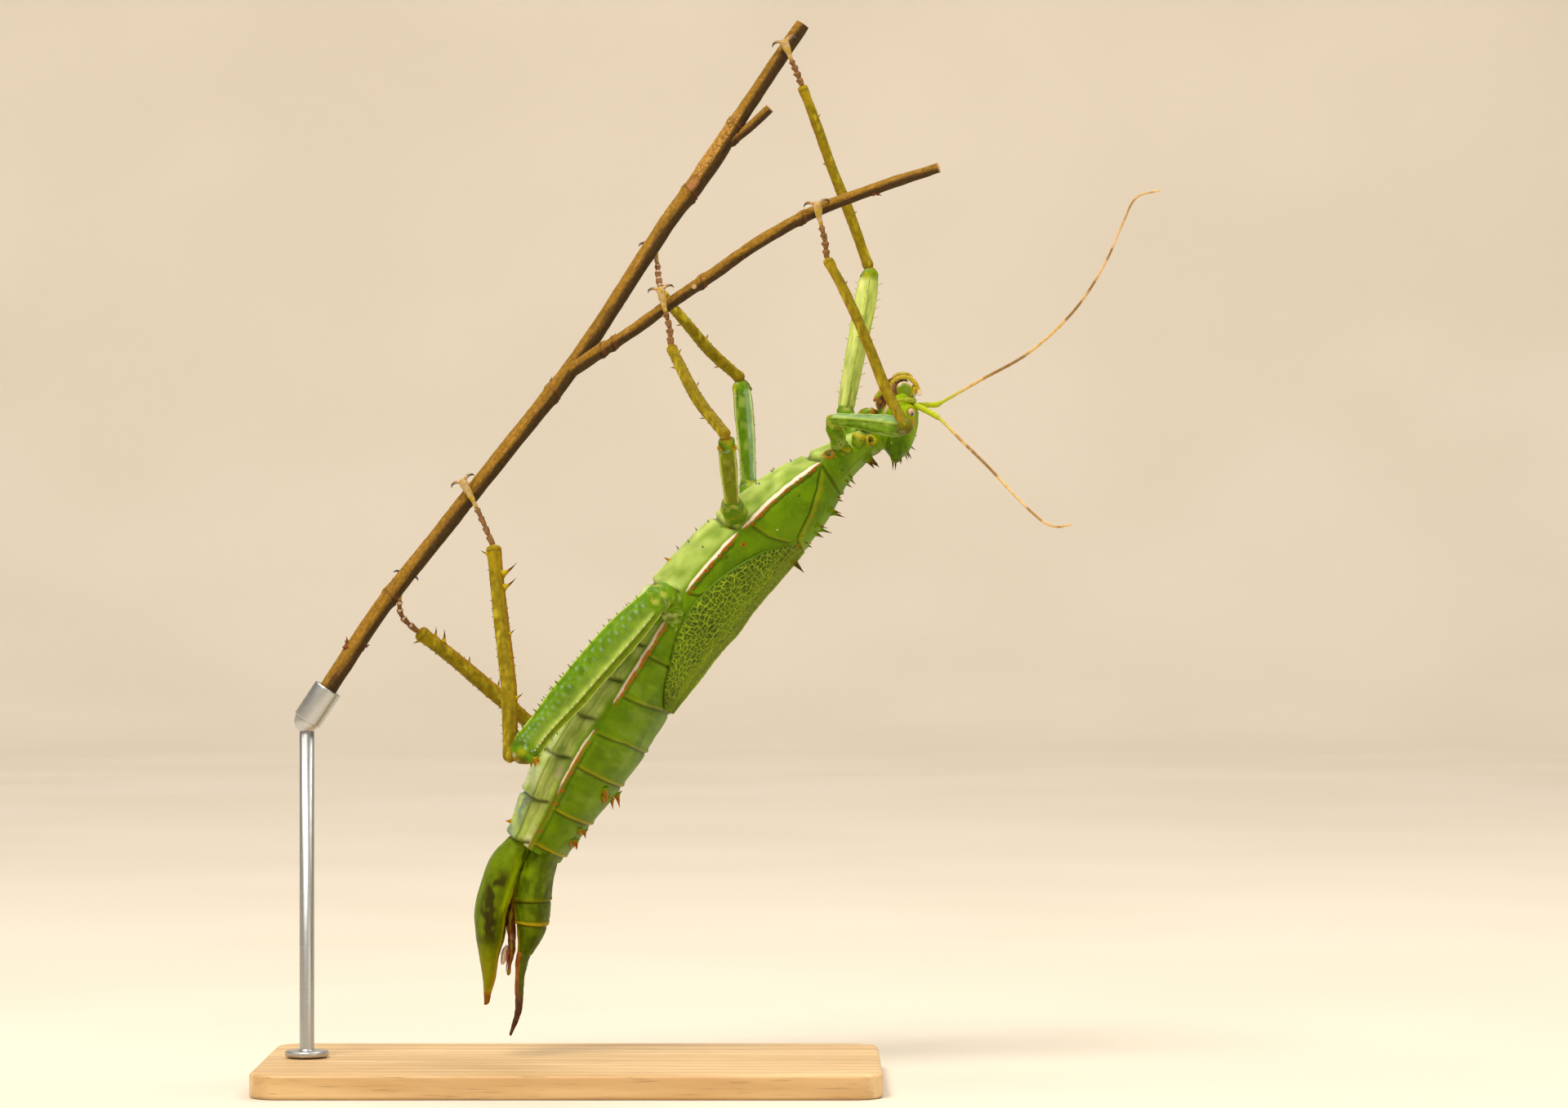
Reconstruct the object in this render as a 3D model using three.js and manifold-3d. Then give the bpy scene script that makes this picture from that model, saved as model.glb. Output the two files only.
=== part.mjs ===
// A female jungle nymph stick insect, life size, hanging below a twig that a display stand holds.
// Millimetres, Z up. The tail is towards -X and the head towards +X. The animal hangs belly up:
// its left side faces -Y, and its back faces down and towards +X. The origin is the middle of
// the stand's underside.
import * as THREE from 'three';
import { mergeVertices } from 'three/addons/utils/BufferGeometryUtils.js';
import Module from 'manifold-3d';

// ---- Driving dimensions ---------------------------------------------------------------------

const GAP = 0.3; // clearance between neighbouring pieces
const ROLL = THREE.MathUtils.degToRad(12); // how far the back turns towards -Y

// The trunk from the neck to the end of abdomen segment 7. Each station has the place of the
// body axis, the half width at the side keels, and the heights of back and belly over them.
const TRUNK = [
  { x: 62.4, z: 130.4, half: 4.6, back: 0.7, belly: 4.2 }, // neck
  { x: 57.6, z: 127.8, half: 6.5, back: 2.4, belly: 4.6 }, // pronotum
  { x: 52.2, z: 125.2, half: 7.8, back: 5.6, belly: 4.6 }, // mesothorax, front
  { x: 45.9, z: 120.2, half: 10.5, back: 8.4, belly: 6.6 }, // mesothorax, middle
  { x: 38.6, z: 112.6, half: 13.0, back: 8.8, belly: 8.5 }, // mesothorax, rear
  { x: 32.0, z: 105.7, half: 14.0, back: 7.4, belly: 9.3 }, // metathorax
  { x: 26.0, z: 98.5, half: 14.0, back: 6.9, belly: 10.0 }, // abdomen 1, front
  { x: 21.6, z: 91.8, half: 14.5, back: 6.5, belly: 10.4 }, // abdomen 1 and 2
  { x: 17.4, z: 84.6, half: 15.5, back: 6.3, belly: 10.8 }, // abdomen 2 and 3
  { x: 12.8, z: 77.0, half: 16.5, back: 6.3, belly: 11.0 }, // abdomen 3 and 4
  { x: 7.6, z: 69.5, half: 17.0, back: 6.8, belly: 11.0 }, // abdomen 4 and 5
  { x: 2.9, z: 62.2, half: 15.5, back: 6.3, belly: 10.8 }, // abdomen 5 and 6
  { x: -1.4, z: 55.0, half: 13.0, back: 5.2, belly: 9.4 }, // abdomen 6 and 7
  { x: -6.3, z: 47.2, half: 10.0, back: 4.2, belly: 7.4 }, // abdomen 7, rear
];
const BACK_ROUNDNESS = 1.15; // above 1 the back rises from the keels in a slight roof
const TRUNK_SIDES = 16;
const STATION_PITCH = 8; // about how far apart the stations are

// Trunk pieces by the stations they run between.
const SEGMENTS = [
  ['prothorax', 0, 2],
  ['mesothorax', 2, 4.2],
  ['metathorax', 4.2, 6],
  ['abdomen_1', 6, 7],
  ['abdomen_2', 7, 8],
  ['abdomen_3', 8, 9],
  ['abdomen_4', 9, 10],
  ['abdomen_5', 10, 11],
  ['abdomen_6', 11, 12],
  ['abdomen_7', 12, 13],
];

// The folded wings over metathorax and abdomen: trunk station, half width, and the heights of
// the ridge and of the side edges over the keels.
const WINGS = [
  { station: 3.72, half: 5.9, ridge: 9.9, edge: 8.3 },
  { station: 3.95, half: 8.4, ridge: 9.8, edge: 7.0 },
  { station: 4.25, half: 10.3, ridge: 9.7, edge: 5.7 },
  { station: 4.75, half: 11.7, ridge: 9.7, edge: 4.5 },
  { station: 5.4, half: 12.7, ridge: 9.9, edge: 3.2 },
  { station: 6.05, half: 13.2, ridge: 10.3, edge: 2.6 },
  { station: 6.9, half: 13.2, ridge: 9.2, edge: 2.9 },
  { station: 7.6, half: 11.8, ridge: 8.4, edge: 4.3 },
  { station: 8.2, half: 9.5, ridge: 7.6, edge: 5.4 },
  { station: 8.7, half: 4.2, ridge: 7.2, edge: 6.7 },
];
const WING_SQUARENESS = 2.2; // how flat the roof of the wings is in the middle
const TEGMEN_THICKNESS = 0.7;
const TEGMEN_SIDES = 10;
const TEGMEN_STEPS = 8;
const TEGMEN_SEAM = 0.02; // share of the half width left free at the middle line
// The hind wings under them, as shares of the fore wings: start, end, and half widths of the upper
// and lower faces. The lower face sinks into the back.
const HIND_WINGS = { start: 0.04, end: 0.98, upper: 0.97, lower: 0.9, sink: 3 };

// The tail: each piece has its centre line in the plane of the body with [x, z, half depth in
// that plane, half width across it].
const TAIL = {
  abdomen_8: [[-5.4, 47.4, 2.9, 8.6], [-7.0, 42.6, 3.4, 8.2], [-7.9, 38.4, 3.7, 7.4]],
  abdomen_9: [[-8.0, 37.9, 3.3, 7.0], [-7.9, 35.0, 3.6, 6.8], [-8.1, 32.6, 3.2, 6.2]],
  abdomen_10: [[-8.2, 32.2, 3.0, 5.9], [-8.4, 29.8, 2.6, 5.0], [-9.0, 27.4, 1.8, 3.6]],
  beak: [[-9.0, 27.0, 1.7, 3.2], [-9.7, 21.8, 0.9, 1.5], [-10.9, 14.4, 0.6, 0.9],
    [-12.4, 9.9, 0.3, 0.35]],
  subgenital_plate: [
    [-9.6, 50.4, 2.2, 6.6],
    [-13.6, 44.2, 3.5, 7.6],
    [-15.3, 39.4, 3.5, 7.4],
    [-16.4, 35.2, 3.4, 6.8],
    [-16.7, 31.0, 2.9, 5.6],
    [-16.9, 26.8, 2.1, 3.9],
    [-17.0, 21.8, 1.2, 2.2],
    [-17.6, 16.7, 0.35, 0.5],
  ],
  inner_valves: [[-11.9, 37.0, 0.7, 1.6], [-12.4, 32.6, 0.9, 2.0], [-12.2, 27.6, 0.7, 1.4],
    [-12.9, 22.8, 0.3, 0.4]],
};

// The head from mouth to the pointed crown: [x, y, z, half depth front to back, half width].
const HEAD = [
  [67.0, 0.9, 138.8, 2.6, 3.6],
  [67.0, 0.6, 136.8, 3.5, 5.0],
  [66.8, 0.1, 134.4, 3.6, 5.4],
  [66.6, -0.5, 131.4, 3.2, 4.9],
  [66.1, -1.0, 128.8, 2.2, 3.2],
  [65.8, -1.3, 126.9, 0.7, 1.0],
];
const MOUTH = [[67.6, 1.6, 144.6, 1.8, 1.9], [67.9, 1.4, 142.6, 2.8, 3.2], [67.5, 1.1, 139.2, 2.3, 3.4]];
const PALP = [[64.6, 0.8, 138.2, 0.7, 0.7], [62.6, 1.4, 138.0, 0.7, 0.7], [62.4, 1.9, 141.2, 0.6, 0.6],
  [63.4, 2.2, 143.6, 0.4, 0.4]];
const PALP_SPREAD = 2.6; // how far each palp stands from the head's middle
const EYE = { x: 69.0, z: 136.7, radius: 1.25, spread: 4.7, middle: 0.6 };

// Spines of the back that are large enough to change the outline: [station, side as a share of
// the half width with right positive, length, lean towards the tail as a share of the length].
const BACK_SPINES = [
  [0.62, 0.25, 2.4, -0.5], [0.62, -0.25, 2.4, -0.5], [1.75, 0.3, 1.4, -0.6], [1.75, -0.3, 1.4, -0.6],
  [2.6, -0.2, 2.0, 0], [3.15, 0.2, 2.2, 0], [3.4, -0.15, 2.0, 0],
  [3.62, 0.1, 3.0, 0.1],
  [11.05, 0.15, 2.6, 0.7], [11.05, -0.15, 2.6, 0.7], [12.1, -0.12, 1.6, 0.7], [12.45, 0.12, 1.8, 0.7],
  [12.8, -0.1, 1.0, 0.7],
];
const SPINE_ROOT = 1; // how deep a spine is set in
const SPINE_RADIUS = 0.6;
const SPINE_SPLAY = 1.3; // how much farther out its tip is than its root
const CROWN_SPINE_RADIUS = 0.5;
const CROWN_SPINES = [
  [[65.6, -1.9, 127.6], [65.6, -2.6, 124.9]],
  [[66.2, -0.6, 127.6], [66.2, -0.6, 124.9]],
  [[67.2, -1.3, 128.4], [67.5, -1.8, 126.3]],
  [[68.2, -1.2, 129.2], [69.3, -1.8, 127.3]],
  [[69.1, -0.8, 131.4], [70.1, -1.1, 129.3]],
];

// Feelers: [x, y, z, radius].
const ANTENNAE = {
  antenna_left: [[70.7, -1.4, 137.8, 0.75], [74.6, -4.6, 135.8, 0.6], [79.0, -8.0, 131.2, 0.45],
    [84.3, -13.0, 125.7, 0.4], [90.4, -18.0, 118.9, 0.35], [95.1, -22.5, 114.4, 0.3],
    [97.6, -25.0, 113.4, 0.28], [100.3, -27.0, 113.8, 0.25]],
  antenna_right: [[70.9, 2.2, 138.3, 0.75], [74.3, 3.2, 138.0, 0.6], [83.5, 4.2, 143.6, 0.45],
    [93.5, 5.0, 149.3, 0.4], [103.1, 5.0, 158.3, 0.35], [109.2, 4.2, 167.8, 0.3],
    [112.7, 3.4, 175.8, 0.28], [115.4, 2.4, 180.9, 0.26], [120.1, 2.0, 182.4, 0.25]],
};

// Legs. Every point is [x, y, z, half depth in the plane of the body, half thickness across].
// claws_towards is the side of the twig that the claws reach round to.
const LEGS = {
  fore_left: {
    coxa: [[55.0, -4.5, 128.8, 1.7, 1.7], [53.4, -9.4, 133.4, 1.7, 1.7]],
    femur: [[53.4, -11.6, 135.2, 1.3, 1.2], [58.6, -17.4, 134.6, 1.4, 1.2], [64.2, -23.8, 133.6, 1.9, 1.5],
      [67.6, -27.6, 133.1, 1.8, 1.5]],
    tibia: [[67.6, -28.6, 131.6, 1.0, 1.0], [63.8, -25.0, 140.3, 1.0, 0.9], [59.3, -21.4, 151.8, 0.9, 0.9],
      [55.5, -18.8, 160.4, 0.9, 0.9], [52.2, -17.0, 166.8, 0.8, 0.8]],
    tarsus: [[51.9, -17.0, 167.6], [51.5, -17.2, 171.0], [50.6, -17.6, 174.6], [49.9, -17.8, 178.2]],
    claws_towards: 1,
  },
  fore_right: {
    coxa: [[58.2, 4.5, 130.4, 1.7, 1.7], [56.4, 9.0, 135.6, 1.7, 1.7]],
    femur: [[55.9, 10.0, 137.6, 1.5, 1.3], [57.8, 10.2, 148.0, 1.7, 1.4], [59.9, 10.4, 159.0, 2.0, 1.5],
      [60.9, 10.6, 165.6, 1.7, 1.4]],
    tibia: [[60.6, 10.8, 167.6, 0.9, 0.9], [56.1, 11.6, 180.3, 1.0, 0.9], [52.8, 12.0, 188.8, 0.9, 0.9],
      [50.1, 12.0, 196.5, 0.9, 0.9], [47.2, 11.9, 204.2, 0.8, 0.8]],
    tarsus: [[46.9, 11.9, 205.0], [45.8, 11.8, 207.8], [44.6, 11.8, 210.6], [43.4, 12.0, 213.8]],
    claws_towards: 1,
  },
  mid_left: {
    coxa: [[35.6, -7.0, 112.4, 2.5, 2.4], [32.8, -12.8, 117.4, 2.4, 2.3]],
    femur: [[32.8, -14.6, 118.6, 1.5, 1.4], [32.5, -18.6, 122.4, 1.7, 1.4], [32.1, -23.0, 126.8, 1.9, 1.5],
      [31.9, -26.2, 130.0, 1.8, 1.5]],
    tibia: [[31.6, -27.4, 131.8, 1.0, 1.0], [26.2, -22.0, 138.7, 1.1, 1.0], [22.6, -16.6, 145.5, 1.0, 0.9],
      [20.7, -12.6, 149.4, 0.9, 0.8]],
    tarsus: [[20.5, -12.2, 150.2], [20.2, -11.4, 153.8], [19.2, -11.2, 157.6], [18.4, -10.8, 161.4]],
    claws_towards: 1,
  },
  mid_right: {
    coxa: [[38.6, 7.0, 115.0, 2.5, 2.4], [36.5, 11.6, 120.2, 2.4, 2.3]],
    femur: [[36.0, 12.4, 122.4, 1.7, 1.5], [35.6, 13.4, 130.0, 1.9, 1.6], [35.0, 14.4, 137.6, 2.1, 1.6],
      [34.6, 15.0, 142.6, 1.8, 1.5]],
    tibia: [[34.0, 15.0, 144.6, 1.0, 1.0], [28.1, 10.6, 149.8, 1.1, 1.0], [23.4, 5.0, 155.2, 1.0, 0.9],
      [18.6, 4.2, 160.8, 0.9, 0.8]],
    tarsus: [[18.2, 5.0, 161.8], [17.4, 9.6, 165.0], [17.0, 12.8, 168.6], [15.8, 14.4, 172.4]],
    claws_towards: -1,
  },
  hind_left: {
    coxa: [[23.6, -8.0, 94.8, 2.8, 2.6], [18.9, -15.2, 99.8, 2.5, 2.3]],
    femur: [[17.3, -17.0, 98.6, 2.6, 1.9], [9.6, -18.2, 90.4, 3.5, 2.2], [0.4, -19.0, 79.8, 3.3, 2.1],
      [-5.4, -18.6, 73.0, 2.7, 1.9], [-9.0, -18.2, 68.4, 3.0, 2.0]],
    tibia: [[-11.6, -18.2, 67.6, 1.3, 1.2], [-12.0, -14.0, 79.8, 1.5, 1.2], [-14.2, -7.0, 96.2, 1.4, 1.1],
      [-15.8, -2.2, 109.0, 1.3, 1.0]],
    tarsus: [[-16.1, -1.8, 110.0], [-17.8, -1.0, 114.0], [-19.9, -0.2, 118.4], [-22.3, 0.1, 122.8]],
    claws_towards: 1,
  },
  hind_right: {
    coxa: [[26.8, 8.0, 98.2, 2.8, 2.6], [22.4, 14.6, 103.2, 2.5, 2.3]],
    femur: [[20.9, 16.6, 101.8, 2.6, 1.9], [12.6, 18.0, 92.6, 3.5, 2.2], [3.4, 18.8, 82.0, 3.3, 2.1],
      [-3.6, 18.4, 74.6, 2.6, 1.9], [-6.8, 18.0, 70.9, 2.8, 2.0]],
    tibia: [[-9.0, 17.6, 72.4, 1.3, 1.2], [-17.5, 14.4, 79.9, 1.5, 1.2], [-24.6, 11.8, 86.2, 1.4, 1.1],
      [-31.4, 9.4, 91.6, 1.3, 1.0]],
    tarsus: [[-32.4, 9.0, 92.2], [-35.4, 8.2, 95.4], [-35.6, 7.0, 99.4], [-34.2, 5.6, 103.4]],
    claws_towards: -1,
  },
};
// The larger spines of a tibia: [share of its length, side], and how far they stand out.
const TIBIA_SPINES = {
  fore: { length: 0.8, places: [[0.2, 1], [0.5, -1], [0.8, 1]] },
  mid: { length: 1.1, places: [[0.2, -1], [0.45, 1], [0.7, -1], [0.9, 1]] },
  hind: { length: 2.2, places: [[0.32, 1], [0.58, 1], [0.82, 1], [0.9, 1], [0.98, -1]] },
};
const TIBIA_SPINE_LEAN = 0.6; // how far a tip is moved towards the tarsus
// A tarsus has five joints. The last is even and starts at last_starts of the length.
const TARSUS = { joint: 0.95, waist: 0.65, last: 0.75, last_starts: 0.6, joints: 6, steps: 8 };
const CLAW = { root: 0.4, knuckle: 0.7, spread: 0.9, reach: 2.2, radius: 0.35, tip: 0.14 };

// The twig: a stem with one side branch, each [x, y, z, radius].
const STEM = [[-52.6, 2.0, 76.4, 1.8], [-38.5, 2.0, 97.7, 1.75], [-26.6, 3.0, 112.8, 1.75],
  [-16.0, 3.0, 126.1, 1.75], [-0.2, 5.0, 146.3, 1.8], [11.9, 9.0, 164.9, 1.7], [19.5, 12.0, 176.9, 1.75],
  [24.0, 13.0, 182.9, 1.85], [28.4, 13.6, 189.2, 1.95], [33.5, 14.2, 197.3, 1.65], [42.0, 15.0, 210.1, 1.5],
  [47.2, 15.4, 217.8, 1.45]];
const SHOOT = [[30.6, 13.8, 191.6, 0.7], [35.2, 13.4, 195.4, 0.9], [40.4, 13.0, 200.2, 1.0]]; // a side shoot
const STEM_STEPS = 18;
const BRANCH = [[-0.2, 5.0, 145.4, 1.5], [4.6, 0.2, 148.6, 1.35], [11.7, -4.0, 152.8, 1.25],
  [21.8, -8.4, 159.8, 1.25], [30.1, -11.6, 165.2, 1.3], [38.4, -13.6, 170.9, 1.2], [49.9, -15.0, 177.0, 1.2],
  [62.9, -18.0, 181.7, 1.15], [74.3, -20.0, 185.3, 1.05]];

const BASE = { length: 126, width: 64, thickness: 5, corner: 6, chamfer: 0.8 };
const ROD = { radius: 1.5, flange: 4.5, flange_height: 1.2, chamfer: 0.6, ball: 2.6 };
const SOCKET = { depth: 5, wall: 0.9, length: 8, chamfer: 0.6 };

const COLOURS = {
  green: { color: 0x5f9c1c, roughness: 0.42, metalness: 0 },
  wing_green: { color: 0x55860f, roughness: 0.5, metalness: 0 },
  olive: { color: 0x8a8a2a, roughness: 0.5, metalness: 0 },
  brown: { color: 0x6b4a25, roughness: 0.55, metalness: 0 },
  straw: { color: 0xb99a5a, roughness: 0.55, metalness: 0 },
  eye: { color: 0xe3c4b6, roughness: 0.2, metalness: 0 },
  bark: { color: 0x6f5a22, roughness: 0.8, metalness: 0 },
  oak: { color: 0xc8ab7d, roughness: 0.55, metalness: 0 },
  steel: { color: 0xb6b8ba, roughness: 0.3, metalness: 1 },
};

// ---- Solids ---------------------------------------------------------------------------------

const wasm = await Module();
wasm.setup();

const ACROSS = new THREE.Vector3(0, 1, 0); // from the animal's left side to its right side

function toSolid(geometry) {
  const bare = geometry.clone();
  bare.deleteAttribute('normal');
  bare.deleteAttribute('uv');
  const merged = mergeVertices(bare, 1e-5);
  return new wasm.Manifold(new wasm.Mesh({
    numProp: 3,
    vertProperties: new Float32Array(merged.attributes.position.array),
    triVerts: new Uint32Array(merged.index.array),
  }));
}

function toGeometry(solid) {
  const mesh = solid.getMesh();
  const geometry = new THREE.BufferGeometry();
  geometry.setAttribute('position', new THREE.BufferAttribute(mesh.vertProperties, 3));
  geometry.setIndex(new THREE.BufferAttribute(mesh.triVerts, 1));
  geometry.computeVertexNormals();
  return geometry;
}

function largestPart(solid) {
  return solid.decompose().reduce((best, part) => (part.volume() > best.volume() ? part : best));
}

// A capped cylinder whose vertices are placed by place(share along, cosine, sine).
function loft(sides, steps, place) {
  const geometry = new THREE.CylinderGeometry(1, 1, 1, sides, steps);
  const position = geometry.attributes.position;
  for (let i = 0; i < position.count; i += 1) {
    const point = place(0.5 - position.getY(i), position.getX(i), position.getZ(i));
    position.setXYZ(i, point.x, point.y, point.z);
  }
  return toSolid(geometry);
}

// A curve through rows of numbers, taken three columns at a time from the given column.
function curveOf(rows, first, count = 3) {
  const points = rows.map((row) => {
    const values = row.slice(first, first + count);
    return new THREE.Vector3(values[0], values[1] ?? values[0], values[2] ?? 0);
  });
  return new THREE.CatmullRomCurve3(points, false, 'centripetal');
}

// A limb of oval section. Rows are [x, y, z, half depth, half thickness], or [x, y, z, radius].
function limb(rows, grow, steps, sides) {
  const line = curveOf(rows, 0);
  const girth = curveOf(rows, 3, 2);
  return loft(sides, steps, (share, cosine, sine) => {
    const along = line.getTangent(share);
    const deep = new THREE.Vector3().crossVectors(ACROSS, along).normalize();
    const thick = new THREE.Vector3().crossVectors(along, deep);
    const size = girth.getPoint(share);
    const point = line.getPoint(share);
    if (share < 1e-6) point.addScaledVector(along, -grow);
    if (share > 1 - 1e-6) point.addScaledVector(along, grow);
    point.addScaledVector(deep, cosine * (size.x + grow));
    return point.addScaledVector(thick, sine * (size.y + grow));
  });
}

function spine(base, tip, radius) {
  const cone = new THREE.ConeGeometry(radius, base.distanceTo(tip), 5);
  const turn = new THREE.Quaternion().setFromUnitVectors(
    new THREE.Vector3(0, 1, 0), tip.clone().sub(base).normalize());
  cone.applyQuaternion(turn);
  const middle = base.clone().lerp(tip, 0.5);
  cone.translate(middle.x, middle.y, middle.z);
  return toSolid(cone);
}

// ---- Trunk and wings ------------------------------------------------------------------------

const LAST_STATION = TRUNK.length - 1;
const trunkAxis = curveOf(TRUNK.map((station) => [station.x, 0, station.z]), 0);
const trunkSizes = curveOf(TRUNK.map((station) => [station.half, station.back, station.belly]), 0);

// Directions at a trunk station: along towards the tail, back, and right.
function trunkFrame(station) {
  const share = station / LAST_STATION;
  const along = trunkAxis.getTangent(share);
  const upright = new THREE.Vector3().crossVectors(along, ACROSS).normalize();
  const back = upright.clone().multiplyScalar(Math.cos(ROLL)).addScaledVector(ACROSS, -Math.sin(ROLL));
  const right = ACROSS.clone().multiplyScalar(Math.cos(ROLL)).addScaledVector(upright, Math.sin(ROLL));
  return { centre: trunkAxis.getPoint(share), sizes: trunkSizes.getPoint(share), along, back, right };
}

function onTrunk(frame, sideways, height) {
  return frame.centre.clone().addScaledVector(frame.right, sideways).addScaledVector(frame.back, height);
}

function trunkLength(from, to, grow, steps) {
  return loft(TRUNK_SIDES, steps, (share, cosine, sine) => {
    const frame = trunkFrame(from + (to - from) * share);
    const height = sine > 0 ? (frame.sizes.y + grow) * sine ** BACK_ROUNDNESS : (frame.sizes.z + grow) * sine;
    return onTrunk(frame, cosine * (frame.sizes.x + grow), height);
  });
}

function trunkSegment(from, to, grow) {
  const trim = (GAP / 2 - grow) / STATION_PITCH;
  const start = from === 0 ? from : from + trim;
  const end = to === LAST_STATION ? to : to - trim;
  const steps = Math.max(2, Math.round((to - from) * 2));
  let solid = trunkLength(start, end, grow, steps);
  for (const [station, side, length, lean] of BACK_SPINES) {
    if (station < from || station >= to) continue;
    const frame = trunkFrame(station);
    const height = frame.sizes.y * Math.sqrt(1 - side * side) ** BACK_ROUNDNESS;
    const base = onTrunk(frame, side * frame.sizes.x, height - SPINE_ROOT);
    const tip = onTrunk(frame, side * frame.sizes.x * SPINE_SPLAY, height + length)
      .addScaledVector(frame.along, length * lean);
    solid = solid.add(spine(base, tip, SPINE_RADIUS));
  }
  return solid;
}

const wingSizes = curveOf(WINGS.map((row) => [row.half, row.ridge, row.edge]), 0);
const wingStations = curveOf(WINGS.map((row) => [row.station, 0, 0]), 0);

// A point of the wing roof: share along it, side from -1 (left) to 1 (right), depth under it.
function onWings(share, side, depth) {
  const frame = trunkFrame(wingStations.getPoint(share).x);
  const size = wingSizes.getPoint(share);
  const rise = (1 - Math.abs(side) ** WING_SQUARENESS) ** 0.8;
  const height = size.z + (size.y - size.z) * rise - depth;
  return onTrunk(frame, side * (size.x - depth * 0.6 * Math.abs(side)), height);
}

// One fore wing: a curved leaf from the side edge to the middle of the back.
function tegmen(sign) {
  return loft(TEGMEN_SIDES, TEGMEN_STEPS, (share, cosine, sine) => {
    const side = TEGMEN_SEAM + (1 - TEGMEN_SEAM) * (1 + cosine) / 2;
    const depth = TEGMEN_THICKNESS * (0.5 - 0.5 * Math.sign(sine) * Math.abs(sine) ** 0.3);
    return onWings(share, sign * side, sign > 0 ? depth : TEGMEN_THICKNESS - depth);
  });
}

// The folded hind wings fill the room between the back and the fore wings.
function hindWings() {
  return loft(TEGMEN_SIDES, TEGMEN_STEPS, (share, cosine, sine) => {
    const { start, end, upper, lower, sink } = HIND_WINGS;
    const along = start + (end - start) * share;
    if (sine >= 0) return onWings(along, cosine * upper, TEGMEN_THICKNESS + GAP);
    const frame = trunkFrame(wingStations.getPoint(along).x);
    return onTrunk(frame, cosine * wingSizes.getPoint(along).x * lower, sine * sink);
  });
}

// ---- Pieces ---------------------------------------------------------------------------------

// Every piece: its solid for a given growth, its colour, and the pieces that it makes room for.
const pieces = new Map();

function piece(name, colour, solid, makesRoomFor = []) {
  pieces.set(name, { colour, solid, makesRoomFor });
}

function inBodyPlane(rows) {
  return rows.map(([x, z, deep, wide]) => [x, 0, z, deep, wide]);
}

function movedAcross(rows, spread) {
  return rows.map(([x, y, z, deep, thick]) => [x, y + spread, z, deep, thick]);
}

for (const [name, from, to] of SEGMENTS) {
  piece(name, 'green', (grow) => trunkSegment(from, to, grow));
}
for (const [name, sign] of [['tegmen_left', -1], ['tegmen_right', 1]]) {
  piece(name, 'wing_green', () => tegmen(sign), ['mesothorax', 'metathorax', 'abdomen_1', 'abdomen_2',
    'abdomen_3', 'abdomen_4']);
}
piece('hind_wings', 'wing_green', () => hindWings(), ['mesothorax', 'metathorax', 'abdomen_1', 'abdomen_2',
  'abdomen_3', 'abdomen_4']);

piece('eye_left', 'eye', (grow) => eyeball(-1, grow));
piece('eye_right', 'eye', (grow) => eyeball(1, grow));
piece('mouthparts', 'olive', (grow) => limb(MOUTH, grow, 3, 10));
piece('head', 'green', (grow) => {
  const spines = CROWN_SPINES.map(([base, tip]) => spine(
    new THREE.Vector3(...base), new THREE.Vector3(...tip), CROWN_SPINE_RADIUS));
  return spines.reduce((whole, one) => whole.add(one), limb(HEAD, grow, 5, 10));
}, ['eye_left', 'eye_right', 'mouthparts', 'prothorax']);
for (const [name, spread] of [['palps_left', -PALP_SPREAD], ['palps_right', PALP_SPREAD]]) {
  piece(name, 'olive', (grow) => limb(movedAcross(PALP, spread), grow, 5, 6), ['head', 'mouthparts']);
}
for (const [name, rows] of Object.entries(ANTENNAE)) {
  piece(name, 'straw', (grow) => limb(rows, grow, 13, 6), ['head', 'mouthparts']);
}

function eyeball(sign, grow) {
  const ball = new THREE.SphereGeometry(EYE.radius + grow, 8, 6);
  ball.translate(EYE.x, EYE.middle + sign * EYE.spread, EYE.z);
  return toSolid(ball);
}

const TAIL_NEIGHBOURS = {
  abdomen_8: ['abdomen_7'],
  abdomen_9: ['abdomen_8'],
  abdomen_10: ['abdomen_9'],
  beak: ['abdomen_10'],
  subgenital_plate: ['abdomen_7', 'abdomen_8'],
  inner_valves: ['abdomen_8', 'abdomen_9', 'abdomen_10', 'subgenital_plate'],
};
for (const [name, neighbours] of Object.entries(TAIL_NEIGHBOURS)) {
  const colour = name === 'beak' ? 'brown' : 'green';
  piece(name, colour, (grow) => limb(inBodyPlane(TAIL[name]), grow, 5, 10), neighbours);
}

// A claw curls from the end of a tarsus round to the far side of the twig.
function claw(line, sign, towards, grow) {
  const along = line.getTangent(1);
  const sideways = new THREE.Vector3().crossVectors(ACROSS, along).normalize();
  const root = line.getPoint(1).addScaledVector(along, -CLAW.root);
  const knuckle = line.getPoint(1).addScaledVector(along, CLAW.knuckle);
  knuckle.addScaledVector(sideways, sign * CLAW.spread);
  const tip = knuckle.clone().addScaledVector(ACROSS, towards * CLAW.reach).addScaledVector(along, CLAW.root);
  const rows = [[...root, CLAW.radius], [...knuckle, CLAW.radius], [...tip, CLAW.tip]];
  return limb(rows, grow, 2, 4);
}

// A tarsus swells at each of its joints and ends in two claws.
function tarsus(rows, towards, grow) {
  const line = curveOf(rows, 0);
  const { joint, waist, last, last_starts: lastStarts, joints, steps } = TARSUS;
  const swelling = [];
  for (let step = 0; step <= steps; step += 1) {
    const share = step / steps;
    const wave = Math.abs(Math.sin(share * Math.PI * joints));
    swelling.push([...line.getPoint(share), share > lastStarts ? last : waist + (joint - waist) * wave]);
  }
  const stalk = limb(swelling, grow, steps, 6);
  return stalk.add(claw(line, -1, towards, grow)).add(claw(line, 1, towards, grow));
}

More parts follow.
